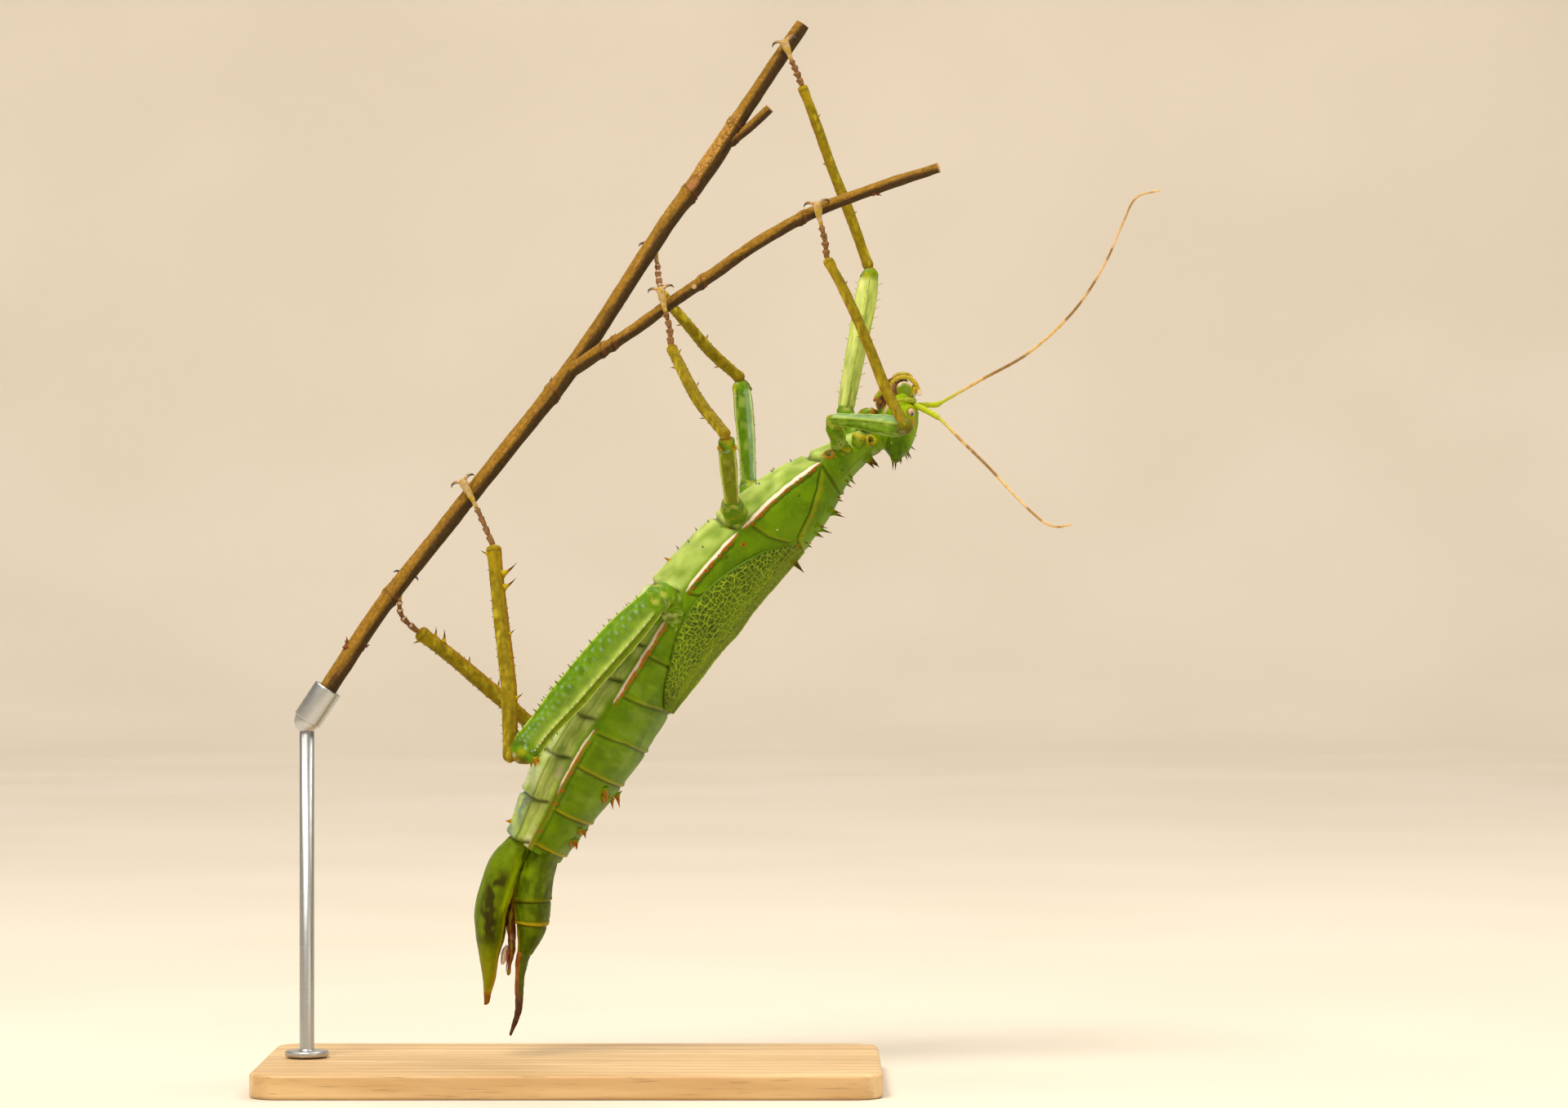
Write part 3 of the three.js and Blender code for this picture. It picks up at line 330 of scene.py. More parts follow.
HIND_KNOBS = (0.08, 0.95, 0.038)
HIND_SPINE_ROWS = [  # turn, first, last, pitch, length, radius, lean
    (350, 0.03, 0.97, 1.7, 0.95, 0.24, -0.1), (12, 0.03, 0.97, 2.2, 0.8, 0.22, -0.1),
    (178, 0.1, 0.95, 2.6, 0.8, 0.24, 0.6)]
HIND_KNEE_SPINES = ((182, 1), (165, 0.97), (200, 0.98), (150, 1.01))  # turn, share of the length
KNEE_LOBE = {  # height in millimetres
    "fore_left": 0, "fore_right": 0.15, "mid_left": 0.1, "mid_right": 0.15, "hind_left": 0.1,
    "hind_right": 0.15}
TIBIA_BROWN_EDGE = {"fore": 180, "mid": 20, "hind": 340}
TOOTH_TURNS = (0, 20, 180, 160)
TOOTH_PITCH = {"fore": 1.7, "mid": 1.6, "hind": 1.9}
TOOTH_LENGTH = {"fore": 0.34, "mid": 0.42, "hind": 0.55}
TIBIA_THORNS = {  # share of the length, turn, length
    "fore_left": [(0.22, 0, 0.8), (0.5, 180, 0.7), (0.8, 0, 0.8)],
    "fore_right": [(0.2, 0, 0.8), (0.5, 180, 0.8), (0.8, 0, 0.8)],
    "mid_left": [(0.2, 180, 1.1), (0.45, 0, 1.1), (0.7, 180, 1.1), (0.9, 0, 1)],
    "mid_right": [(0.2, 180, 1.1), (0.45, 0, 1.1), (0.7, 180, 1.1), (0.9, 0, 1)],
    "hind_left": [(0.31, 350, 1.6), (0.79, 350, 3), (0.86, 355, 3.5), (0.98, 180, 1.4), (0.57, 350, 1.3)],
    "hind_right": [(0.31, 10, 1.6), (0.58, 10, 1.3), (0.82, 10, 2.6), (0.9, 10, 1.9), (0.98, 180, 1.4)],
}
TARSUS_GIRTHS = [  # share of the length and half width: four short joints, then a long one
    (0, 0.58), (0.09, 0.64), (0.16, 0.5), (0.25, 0.64), (0.32, 0.48), (0.41, 0.6), (0.48, 0.46),
    (0.56, 0.56), (0.62, 0.4), (0.72, 0.5), (0.86, 0.78), (0.95, 0.82), (1, 0.6),
]
TARSUS_JOINTS = (0.16, 0.32, 0.48, 0.62)
PAD_SHIFT = 0.045  # from a joint back to its pad
TARSUS_LAST = 0.62
CLAW = [  # along, outwards, over the twig, half width
    (-0.5, 0.1, 0, 0.36), (0.3, 0.85, 0, 0.36), (0.55, 1.7, 0.35, 0.29), (0.4, 2.35, 1, 0.2),
    (0, 2.65, 1.8, 0.07),
]

# The twig: a stem with a shoot and a side branch, each [x, y, z, radius].
STEM = [
    [-52.6, 2, 76.4, 1.8], [-38.5, 2, 97.7, 1.75], [-26.6, 3, 112.8, 1.75], [-16, 3, 126.1, 1.75],
    [-0.2, 5, 146.3, 1.8], [11.9, 9, 164.9, 1.7], [19.5, 12, 176.9, 1.75], [24, 13, 182.9, 1.85],
    [28.4, 13.6, 189.2, 1.95], [33.5, 14.2, 197.3, 1.65], [42, 15, 210.1, 1.5], [47.2, 15.4, 217.8, 1.45],
]
SHOOT = [
    [29.6, 13.7, 190.6, 0.8], [31.4, 13.8, 192.4, 0.8], [35.2, 13.4, 195.4, 0.9], [40.4, 13, 200.2, 1],
]
BRANCH = [
    [-0.6, 5.2, 145.4, 1.5], [4.6, 0.2, 148.6, 1.35], [11.7, -4, 152.8, 1.25], [21.8, -8.4, 159.8, 1.25],
    [30.1, -11.6, 165.2, 1.3], [38.4, -13.6, 170.9, 1.2], [49.9, -15, 177, 1.2], [62.9, -18, 181.7, 1.15],
    [74.3, -20, 185.3, 1.05],
]
STEM_NODES = (0.1, 0.34, 0.63, 0.81)
STEM_SCAR = (0.655, 250)  # share of the length, turn
BRANCH_SCAR = (0.43, 270)
CORKY_STRETCH = (0.67, 0.83)
BRANCH_NODES = (0.16, 0.2, 0.45, 0.72)
BUDS = {  # share of the length, turn, length
    "stem": [(0.05, 200, 2.2), (0.055, 20, 1.8), (0.345, 190, 1.6), (0.82, 20, 1.2)],
    "branch": [(0.21, 170, 1), (0.86, 350, 1.6)],
}

# The stand: an oak base, and a steel rod whose tilted socket holds the foot of the stem.
BASE = {"length": 126, "width": 64, "thickness": 5, "corner": 6, "round": 0.8}
ROD = {"radius": 1.5, "flange": 4.5, "flange_height": 1.2, "round": 0.5, "ball": 2.6}
SOCKET = {"depth": 5, "wall": 0.9, "length": 8, "round": 0.4}
GAP = 0.3  # between solids that meet
LATHE_SIDES, BALL_RINGS = 72, 40
ROUNDING_STEPS, BASE_ARC = 5, 12  # points along a rounded edge

# Light and backdrop, in metres.
MIDDLE = (0.02, 0, 0.11)
SOFTBOXES = [  # name, place, target, size in metres, power in watts, tone
    ("key", (-0.35, -0.6, 1.05), MIDDLE, 0.4, 12.3, (1, 0.95, 0.86)),
    ("fill", (0.9, -0.9, 0.6), MIDDLE, 0.8, 2.2, (1, 0.93, 0.82)),
    ("rim", (0.35, 0.25, 0.95), MIDDLE, 0.5, 3.5, (1, 0.95, 0.86)),
]
SOFTBOXES += [(f"wall_{number}", (1.3 * x, 1.3 * y, 1.7), (2.2 * x, 2.2 * y, 0.2), 1, 17,
               (1, 0.95, 0.88))
              for number, (x, y) in enumerate(((0, 1), (1, 0), (0, -1), (-1, 0)))]
WORLD_TONE = (1, 0.9, 0.76, 1)
WORLD_STRENGTH = 0.22
BACKDROP = {"floor": 1.7, "sweep": 0.6, "height": 1, "sides": 96, "arc": 24}

# ---- Curves, noise and masks ----


def spline(rows, shares):
    """Points at shares of a centripetal curve through rows of numbers."""
    rows = np.asarray(rows, float)
    points = np.concatenate([[2 * rows[0] - rows[1]], rows, [2 * rows[-1] - rows[-2]]])
    place = np.atleast_1d(shares) * (len(rows) - 1)
    index = np.clip(place.astype(int), 0, len(rows) - 2)
    before, start, end, after = (points[index + shift] for shift in range(4))

    def knot(a, b):
        """The step of the curve's own measure between two points."""
        return np.maximum(np.linalg.norm(a - b, axis=1, keepdims=True), 1e-6) ** 0.5

    d0, d1, d2 = knot(before, start), knot(start, end), knot(end, after)
    leave = ((start - before) / d0 - (end - before) / (d0 + d1) + (end - start) / d1) * d1
    enter = ((end - start) / d1 - (after - start) / (d1 + d2) + (after - end) / d2) * d1
    t = (place - index)[:, None]
    curve = (2 * start - 2 * end + leave + enter) * t + (3 * end - 3 * start - 2 * leave - enter)
    return (curve * t + leave) * t + start


def unit(vectors):
    """The vectors with a length of 1."""
    vectors = np.asarray(vectors, float)
    length = np.linalg.norm(vectors, axis=-1, keepdims=True)
    return vectors / np.maximum(length, 1e-9)


def turns(sides):
    """Angles of a whole turn, from 0, in radians."""
    return np.arange(sides) * 2 * np.pi / sides


def circle(first, second, sides):
    """Points of a circle round 0 that starts on the first direction and goes by the second."""
    angle = turns(sides)[:, None]
    return np.cos(angle) * first + np.sin(angle) * second


def slope(rows, shares):
    """Directions along the curve through rows of numbers."""
    nudge = 1e-4
    return unit(spline(rows, np.asarray(shares) + nudge) - spline(rows, np.asarray(shares) - nudge))


def bell(distance, width):
    """1 where the distance is 0, fading out over the width."""
    return np.exp(-((distance / width) ** 2))


def ramp(value, low, high):
    """0 below low and 1 above high, smooth between."""
    share = np.clip((value - low) / (high - low), 0, 1)
    return share * share * (3 - 2 * share)


def chance(cells, seed):
    """A number from 0 to 1 for each cell of whole numbers."""
    mixed = cells @ np.array([127.1, 311.7, 74.7])[: cells.shape[-1]] + seed * 13.7
    return (np.sin(mixed) * 43758.5453) % 1


def noise(points, size, seed=0):
    """Smooth noise from -1 to 1 with lumps about as large as the size."""
    place = np.asarray(points) / size
    cell = np.floor(place)
    part = place - cell
    part = part * part * (3 - 2 * part)
    total = np.zeros(place.shape[:-1])
    for corner in itertools.product((0, 1), repeat=place.shape[-1]):
        weight = np.prod(np.where(corner, part, 1 - part), axis=-1)
        total += weight * chance(cell + corner, seed)
    return 2 * total - 1


def plane(across, along):
    """Points of a plane from two coordinates."""
    return np.stack(np.broadcast_arrays(across, along), axis=-1)


def cell_borders(points, seed):
    """How far each point of a plane is inside its cell, in a crazed net of cells about 1 across."""
    home = np.floor(points)
    nearest = np.full(points.shape[:-1], 9.0)
    second = nearest.copy()
    for step in itertools.product((-1, 0, 1), repeat=2):
        cell = home + step
        middle = cell + 0.1 + 0.8 * plane(chance(cell, seed), chance(cell, seed + 1))
        distance = np.linalg.norm(points - middle, axis=-1)
        second = np.minimum(second, np.maximum(nearest, distance))
        nearest = np.minimum(nearest, distance)
    return second - nearest


# ---- Surfaces and meshes ----


def outward(rings):
    """Unit normals of rings of points round a line."""
    along = np.gradient(rings, axis=0)
    around = np.roll(rings, -1, axis=1) - np.roll(rings, 1, axis=1)
    normals = unit(np.cross(around, along))
    sign = np.sum(normals * (rings - rings.mean(axis=1, keepdims=True)))
    return normals if sign > 0 else -normals


class Surface:
    """Rings of points round a line, with a relief in millimetres and a share of each paint.

    place says where a ring is along the line and turn where a point is round it. scale is the
    millimetres in one unit of turn, and period the turns in a whole ring where turn runs round.
    """

    def __init__(self, rings, place, turn, scale, period=None):
        self.rings = rings
        self.place = np.asarray(place)[:, None]
        self.turn = turn
        self.scale = scale
        self.period = period
        steps = np.linalg.norm(np.diff(rings.mean(axis=1), axis=0), axis=1)
        self.along = np.concatenate([[0], np.cumsum(steps)])[:, None]
        self.relief = np.zeros(rings.shape[:2])
        self.paints = {paint: np.zeros(rings.shape[:2]) for paint in PAINTS}

    def off(self, path):
        """Millimetres round the surface from a turn, or from a path of (place, turn)."""
        target = path if np.isscalar(path) else np.interp(self.place, *zip(*path))
        gap = self.turn - target
        if self.period:
            gap = (gap + self.period / 2) % self.period - self.period / 2
        return gap * self.scale

    def past(self, border):
        """Millimetres along the surface beyond a place, or a border of (turn, place)."""
        place = border if np.isscalar(border) else np.interp(self.turn, *zip(*border))
        return self.along - np.interp(place, self.place[:, 0], self.along[:, 0])

    def between(self, first, last, soft=0.6):
        """1 between two places along the surface and 0 outside, with soft ends."""
        return ramp(self.past(first), -soft, soft) * ramp(-self.past(last), -soft, soft)

    def spot(self, place, turn, radius):
        """1 at a point, fading out over the radius."""
        return bell(np.hypot(self.past(place), self.off(turn)), radius)

    def push(self, height):
        """Raises the surface by a height in millimetres."""
        self.relief = self.relief + height

    def tint(self, paint, share):
        """Lays a paint on wherever the share is above what is there."""
        self.paints[paint] = np.clip(np.maximum(self.paints[paint], share), 0, 1)

    def fade(self, paint, share):
        """Takes a share of a paint off."""
        self.paints[paint] = self.paints[paint] * (1 - share)

    @functools.cached_property
    def normals(self):
        """Directions out of the bare rings."""
        return outward(self.rings)

    @functools.cached_property
    def shaped(self):
        """The rings with their relief, which is complete when this is first read."""
        return self.rings + self.normals * self.relief[..., None]

    def at(self, place, turn, side=0):
        """The point, normal and direction along at a place. side picks -Y or +Y where turn repeats."""
        row = int(np.argmin(np.abs(self.place[:, 0] - place)))
        gap = np.abs(self.off(turn)[row])
        if side:
            offset = (self.rings[row] - self.rings[row].mean(axis=0)) @ ACROSS
            gap = gap + 1e3 * (offset * side < 0)
        column = int(np.argmin(gap))
        line = self.shaped[:, column]
        forward = line[min(row + 1, len(line) - 1)] - line[max(row - 1, 0)]
        return line[row], self.normals[row, column], unit(forward)


SPINE_RINGS = 8
SPINE_ROOT = 0.25  # how deep a spine starts below the surface, in millimetres


class Skin:
    """One mesh made of several closed surfaces that share the paints."""

    def __init__(self, *surfaces):
        self.points, self.faces, self.paints, self.count = [], [], [], 0
        for surface in surfaces:
            self.cover(surface)

    def add(self, points, faces, paints):
        """Adds a closed surface. Its faces are turned outward."""
        corners = [points[group] for group in faces]
        volume = sum(
            np.einsum("ij,ij->", shape[:, 0], np.cross(shape[:, k], shape[:, k + 1]))
            for shape in corners for k in range(1, shape.shape[1] - 1)
        )
        for group in faces:
            turned = group if volume > 0 else group[:, ::-1]
            self.faces.extend((turned + self.count).tolist())
        self.points.append(points)
        self.paints.append({p: np.broadcast_to(paints.get(p, 0), len(points)) for p in PAINTS})
        self.count += len(points)

    def tube(self, rings, paints=None):
        """Rings of points, closed with a fan over each end."""
        rows, sides = rings.shape[:2]
        index = np.arange(rows * sides).reshape(rows, sides)
        after = np.roll(index, -1, axis=1)
        quads = np.stack([index[:-1], index[1:], after[1:], after[:-1]], axis=-1).reshape(-1, 4)
        first, last = rows * sides, rows * sides + 1
        start = np.stack([np.full(sides, first), index[0], after[0]], axis=-1)
        end = np.stack([np.full(sides, last), after[-1], index[-1]], axis=-1)
        points = np.concatenate([rings.reshape(-1, 3), [rings[0].mean(0)], [rings[-1].mean(0)]])
        whole = {}
        for paint, values in (paints or {}).items():
            values = np.broadcast_to(values, (rows, sides))
            whole[paint] = np.concatenate([values.ravel(), [values[0].mean(), values[-1].mean()]])
        self.add(points, [quads, start, end], whole)

    def cover(self, surface):
        """Adds a surface with its relief and paints."""
        self.tube(surface.shaped, surface.paints)

    def spine(self, root, direction, length, radius, bend=(0, 0, 0), paints=None, sides=8):
        """A spine that flares at its root and bends over towards its tip."""
        share = np.linspace(0, 1, SPINE_RINGS)
        direction = unit(direction)
        line = root + direction * (share * length - SPINE_ROOT)[:, None]
        line = line + np.outer(share**2 * length, bend)
        girth = radius * ((1 - share) ** 1.15 + 0.8 * bell(share, 0.15)) + 0.02
        side = unit(np.cross(direction, [0.31, 0.77, 0.55]))
        other = np.cross(direction, side)
        rings = line[:, None] + girth[:, None, None] * circle(side, other, sides)
        self.tube(rings, {paint: at(share)[:, None] for paint, at in (paints or {}).items()})

    def thorn(self, surface, place, turn, length, radius, lean=0, bend=0, side=0, **look):
        """A spine that grows from a surface, and leans and bends along it."""
        point, normal, forward = surface.at(place, turn, side)
        self.spine(point, normal + lean * forward, length, radius, bend * forward, **look)

    def build(self, name, finish, slot, *nodes):
        """Makes the piece, which stands for the named nodes."""
        points = np.concatenate(self.points) * MM
        mesh = smooth_mesh(name, points.tolist(), self.faces, finish)
        for paint in PAINTS:
            layer = mesh.attributes.new(paint, "FLOAT", "POINT")
            layer.data.foreach_set("value", np.concatenate([part[paint] for part in self.paints]))
        piece = show(name, mesh)
        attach(piece, ROOT)
        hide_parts(*nodes)


# ---- Finishes ----


def colour(code):
    """The linear colour of a hex code such as 7fb02a."""
    parts = [int(code[k : k + 2], 16) / 255 for k in (0, 2, 4)]
    return tuple(p / 12.92 if p <= 0.04045 else ((p + 0.055) / 1.055) ** 2.4 for p in parts)


def socket_title(name):
    """A socket's label, such as Specular IOR Level for specular_ior_level."""
    return name.replace("_", " ").title().replace("Ior", "IOR")


class Wire:
    """An output of a shader node. Arithmetic on wires adds maths nodes."""

    def __init__(self, finish, socket):
        self.finish = finish
        self.socket = socket

    def maths(self, operation, *values):
        """A maths node fed with wires and numbers."""
        return self.finish.add("ShaderNodeMath", {"operation": operation}, dict(enumerate(values)))

    def __add__(self, other):
        return self.maths("ADD", self, other)

    def __radd__(self, other):
        return self.maths("ADD", other, self)

    def __sub__(self, other):
        return self.maths("SUBTRACT", self, other)

    def __rsub__(self, other):
        return self.maths("SUBTRACT", other, self)

    def __mul__(self, other):
        return self.maths("MULTIPLY", self, other)

    def __rmul__(self, other):
        return self.maths("MULTIPLY", other, self)

    def ramp(self, low, high):
        """0 below low and 1 above high, smooth between."""
        return self.finish.add("ShaderNodeMapRange", {"interpolation_type": "SMOOTHSTEP"}, {
            "Value": self, "From Min": low, "From Max": high, "To Min": 0, "To Max": 1})


class Finish:
    """A material made of one Principled shader and what feeds it."""

    def __init__(self, name, **constants):
        self.material = bpy.data.materials.new(name)
        self.material.use_nodes = True
        self.tree = self.material.node_tree
        self.tree.nodes.clear()
        settings = {socket_title(key): value for key, value in constants.items()}
        self.shader = self.add("ShaderNodeBsdfPrincipled", {}, settings)
        self.add("ShaderNodeOutputMaterial", {}, {"Surface": self.shader}, output=None)
        self.place = self.add("ShaderNodeTexCoord", {}, {}, output="Object")

    def add(self, kind, settings, inputs, output=0):
        """A node of a kind, set up first, then fed. Returns a wire from its output."""
        node = self.tree.nodes.new(kind)
        for name, value in settings.items():
            setattr(node, name, value)
        for name, value in inputs.items():
            self.plug(node.inputs[name], value)
        return None if output is None else Wire(self, node.outputs[output])

    def plug(self, socket, value):
        """Links a wire to a socket, or sets the socket's value. A colour is a hex code."""
        if isinstance(value, Wire):
            self.tree.links.new(value.socket, socket)
        else:
            socket.default_value = (*colour(value), 1) if isinstance(value, str) else value

    def set(self, **values):
        """Feeds sockets of the main shader."""
        for name, value in values.items():
            self.plug(self.shader.socket.node.inputs[socket_title(name)], value)

    def paint(self, name):
        """The share of a paint that the surface carries."""
        return self.add("ShaderNodeAttribute", {"attribute_name": name}, {}, output="Fac")

    def mix(self, share, first, second):
        """A colour that runs from the first to the second as the share goes from 0 to 1."""
        settings = {"data_type": "RGBA", "clamp_factor": True}
        return self.add("ShaderNodeMix", settings, {0: share, 6: first, 7: second}, output=2)

    def painted(self, base, **coats):
        """A base colour under coats of the surface's paints."""
        for paint, code in coats.items():
            base = self.mix(self.paint(paint), base, code)
        return base

    def stretched(self, *factors):
        """The place multiplied by a factor along each axis."""
        return self.add("ShaderNodeVectorMath", {"operation": "MULTIPLY"}, {0: self.place, 1: factors})

    def noise(self, size, detail=3, roughness=0.55, place=None, distortion=0):
        """Noise from 0 to 1 with lumps of the given size in millimetres."""
        return self.add("ShaderNodeTexNoise", {}, {
            "Vector": place or self.place, "Scale": 1 / (size * MM), "Detail": detail,
            "Roughness": roughness, "Distortion": distortion})

    def cells(self, size, randomness=1):
        """The distance from the middle of cells of the given size in millimetres."""
        return self.add("ShaderNodeTexVoronoi", {}, {
            "Vector": self.place, "Scale": 1 / (size * MM), "Randomness": randomness})

    def done(self, base, roughness, height, depth, **others):
        """Feeds the shader, with a bump of the given depth in millimetres. Returns the material."""
        bump = {"Height": height, "Strength": 1, "Distance": depth * MM}
        self.set(base_color=base, roughness=roughness, **others)
        self.set(normal=self.add("ShaderNodeBump", {}, bump))
        return self.material


def cuticle(name, shade, leaf, light, pale="f0d9c4", rough=0.42, coarse=2.4, sheen=0.05, pitting=0.06):
    """A waxy insect shell: mottled, finely pitted, and painted by the surface's own masks."""
    finish = Finish(
        name, specular_ior_level=sheen, subsurface_weight=0.06, subsurface_radius=(0.8, 1, 0.1),
        subsurface_scale=0.8 * MM, coat_roughness=0.2)
    clouds = finish.noise(coarse, detail=4, distortion=0.4)
    fine = finish.noise(0.35, detail=2)
    base = finish.mix(clouds.ramp(0.25, 0.75), shade, leaf)
    # The bright paint is the shell's lighter colour. On the belly it is partly painted light, and on the
    # tibiae and the subgenital plate it is a painted highlight.
    base = finish.mix(finish.paint("bright") * (0.75 + 0.5 * clouds), base, light)
    base = finish.mix(fine.ramp(0.5, 0.9) * 0.12, base, light)
    for paint, code, strength in (
        ("gold", "bea010", 0.85), ("pale", pale, 0.95), ("rust", "a85014", 0.92),
        ("blue", "b9cfc4", 0.85), ("dark", "2a1c08", 0.9),
    ):
        mask = finish.paint(paint) * (0.8 + 0.4 * fine)
        base = finish.mix(mask * strength, base, code)
    pits = finish.cells(0.16).ramp(0, 0.5)
    gloss = rough + 0.16 * clouds - 0.1 * finish.paint("bright")
    return finish.done(base, gloss, fine * 0.6 + pits * 0.4, pitting, coat_weight=0.06 - 0.05 * fine)


def wing_finish():
    """Olive green between a net of raised, bright yellow-green veins."""
    finish = Finish("wing_net", specular_ior_level=0.16, subsurface_weight=0.05,
                    subsurface_radius=(0.5, 1, 0.2), subsurface_scale=0.8 * MM)
    clouds = finish.noise(5, detail=3)
    fine = finish.noise(0.3, detail=2)
    base = finish.mix(clouds.ramp(0.3, 0.7), "304401", "445e03")
    base = finish.mix(finish.paint("pale") * (0.7 + 0.6 * clouds), base, "8aa314")
    base = finish.painted(base, bright="5f8608", gold="a39a14", rust="6b5320")
    base = finish.mix(finish.paint("dark") * 0.85, base, "263402")
    return finish.done(base, 0.5 + 0.15 * fine, fine, 0.04)


def bark_finish():
    """Ridged olive-brown bark: painted light, ochre and granular, on one side; painted shade, dark brown, on
    the other.
    """
    finish = Finish("bark", specular_ior_level=0.25)
    grain = finish.noise(0.7, detail=5, roughness=0.7)
    fine = finish.noise(0.25, detail=3)
    # Painted light and shade: ochre is the bark on its lit side, brown the same bark in shade; the bright
    # paint picks between them.
    ochre = finish.mix(grain.ramp(0.3, 0.75), "75540b", "9e741e")
    brown = finish.mix(grain.ramp(0.3, 0.75), "38260c", "4e3814")
    base = finish.mix(finish.paint("bright"), brown, ochre)
    base = finish.painted(base, pale="bd9a72", gold="b98a42", rust="8a4a22")
    base = finish.mix(finish.paint("dark") * 0.9, base, "1c140c")
    return finish.done(base, 0.72 + 0.2 * fine, grain * 0.6 + fine * 0.4, 0.12)


def oak_finish():
    """Oiled oak with its grain along X: fine pores over wide, wavy rings."""
    finish = Finish("oiled_oak", specular_ior_level=0.4, coat_roughness=0.3)
    along = finish.stretched(0.08, 1, 1)
    rings = finish.noise(9, detail=3, distortion=1.2, place=along)
    bands = finish.add("ShaderNodeTexWave", {"wave_type": "BANDS", "bands_direction": "Y"}, {
        "Vector": along, "Scale": 55, "Distortion": 6, "Detail": 3, "Detail Scale": 1.4},
        output="Fac")
    pores = finish.noise(0.5, detail=3, place=finish.stretched(0.05, 1, 1)).ramp(0.55, 0.75)
    base = finish.mix(rings.ramp(0.3, 0.7), "c9a26c", "ddbd8a")
    base = finish.mix(bands.ramp(0.2, 0.9) * 0.35, base, "a87b47")
    base = finish.mix(pores * 0.45, base, "7c5730")
    relief = (1 - pores) * 0.7 + bands * 0.3
    return finish.done(base, 0.42 + 0.2 * pores, relief, 0.08, coat_weight=0.15)


def steel_finish():
    """Steel brushed round the rod, with faint handling marks."""
    finish = Finish("brushed_steel", metallic=1)
    lines = finish.noise(0.4, detail=4, place=finish.stretched(0.15, 0.15, 6))
    smudge = finish.noise(6, detail=2)
    base = finish.mix(lines, "a9abad", "cfd1d2")
    return finish.done(base, 0.24 + 0.14 * lines + 0.08 * smudge, lines, 0.01)


def eye_finish():
    """A glossy, pinkish cream eye with a dark spot and faint facets."""
    finish = Finish("eye", specular_ior_level=0.6, coat_roughness=0.05)
    facets = finish.cells(0.09, randomness=0.3)
    cloud = finish.noise(0.7)
    base = finish.mix(cloud.ramp(0.3, 0.7), "b08070", "d4b09e")
    base = finish.mix(facets.ramp(0.2, 0.6) * 0.25, base, "9a6a58")
    base = finish.painted(base, gold="b89a2a", dark="0b0806")
    return finish.done(base, 0.16 + 0.1 * cloud, facets, 0.01, coat_weight=0.8)


def horn_finish():
    """Dark, polished horn for the claws, amber at the root."""
    finish = Finish("horn", specular_ior_level=0.5, coat_roughness=0.15)
    streaks = finish.noise(0.4, detail=3)
    base = finish.mix(streaks.ramp(0.3, 0.7), "2a1c16", "4a3020")
    base = finish.mix(finish.paint("gold") * (0.7 + 0.3 * streaks), base, "b08a50")
    base = finish.painted(base, blue="3c3d66")
    return finish.done(base, 0.25 + 0.15 * streaks, streaks, 0.02, coat_weight=0.4)


def backdrop_finish():
    """Matt, slightly clouded paper."""
    finish = Finish("warm_paper", specular_ior_level=0.1)
    cloud = finish.noise(160, detail=1)
    base = finish.mix(cloud.ramp(0.3, 0.7), "d8cfc0", "dcd3c5")
    return finish.done(base, 0.9 + 0.05 * cloud, finish.noise(1.2), 0.02)


# ---- Trunk ----

TRUNK_AXIS = [[x, 0, z] for x, z, *_ in TRUNK]
TRUNK_SIZES = [row[2:] for row in TRUNK]
TRUNK_PITCH = 0.26  # between rings, in millimetres
TRUNK_SIDES = 280


def trunk_frame(stations):
    """Centre, sizes, and the directions along, back and right at trunk stations."""
    shares = np.atleast_1d(stations) / LAST_STATION
    along = slope(TRUNK_AXIS, shares)
    upright = unit(np.cross(along, ACROSS))
    back = upright * math.cos(ROLL) - ACROSS * math.sin(ROLL)
    right = ACROSS * math.cos(ROLL) + upright * math.sin(ROLL)
    return spline(TRUNK_AXIS, shares), spline(TRUNK_SIZES, shares), along, back, right


def quarter_round(points):
    """Shares of the way along each row of points, and the rows' lengths."""
    steps = np.linalg.norm(np.diff(points, axis=1), axis=2)
    arc = np.concatenate([np.zeros((len(points), 1)), np.cumsum(steps, axis=1)], axis=1)
    return arc / arc[:, -1:], arc[:, -1:]


def trunk_surface():
    """The bare trunk. Its turn is 0 at both side keels, 1 at the middle of the back, -1 of the belly."""
    length = np.sum(np.linalg.norm(np.diff(TRUNK_AXIS, axis=0), axis=1))
    stations = np.linspace(0, LAST_STATION, round(length / TRUNK_PITCH))
    centre, sizes, _, back, right = (part[:, None] for part in trunk_frame(stations))
    angle = turns(TRUNK_SIDES)
    lift = np.sin(angle)
    rise = np.where(lift > 0, sizes[..., 1] * np.abs(lift) ** BACK_ROUNDNESS, sizes[..., 2] * lift)
    sideways = -np.cos(angle) * sizes[..., 0]
    rings = centre + right * sideways[..., None] + back * rise[..., None]
    quarter = TRUNK_SIDES // 4
    to_back, back_arc = quarter_round(rings[:, : quarter + 1])
    to_belly, belly_arc = quarter_round(rings[:, np.arange(0, -quarter - 1, -1)])
    turn = np.concatenate([
        to_back[:, :-1], to_back[:, :0:-1], -to_belly[:, :-1], -to_belly[:, :0:-1]], axis=1)
    return Surface(rings, stations, turn, np.where(turn > 0, back_arc, belly_arc))


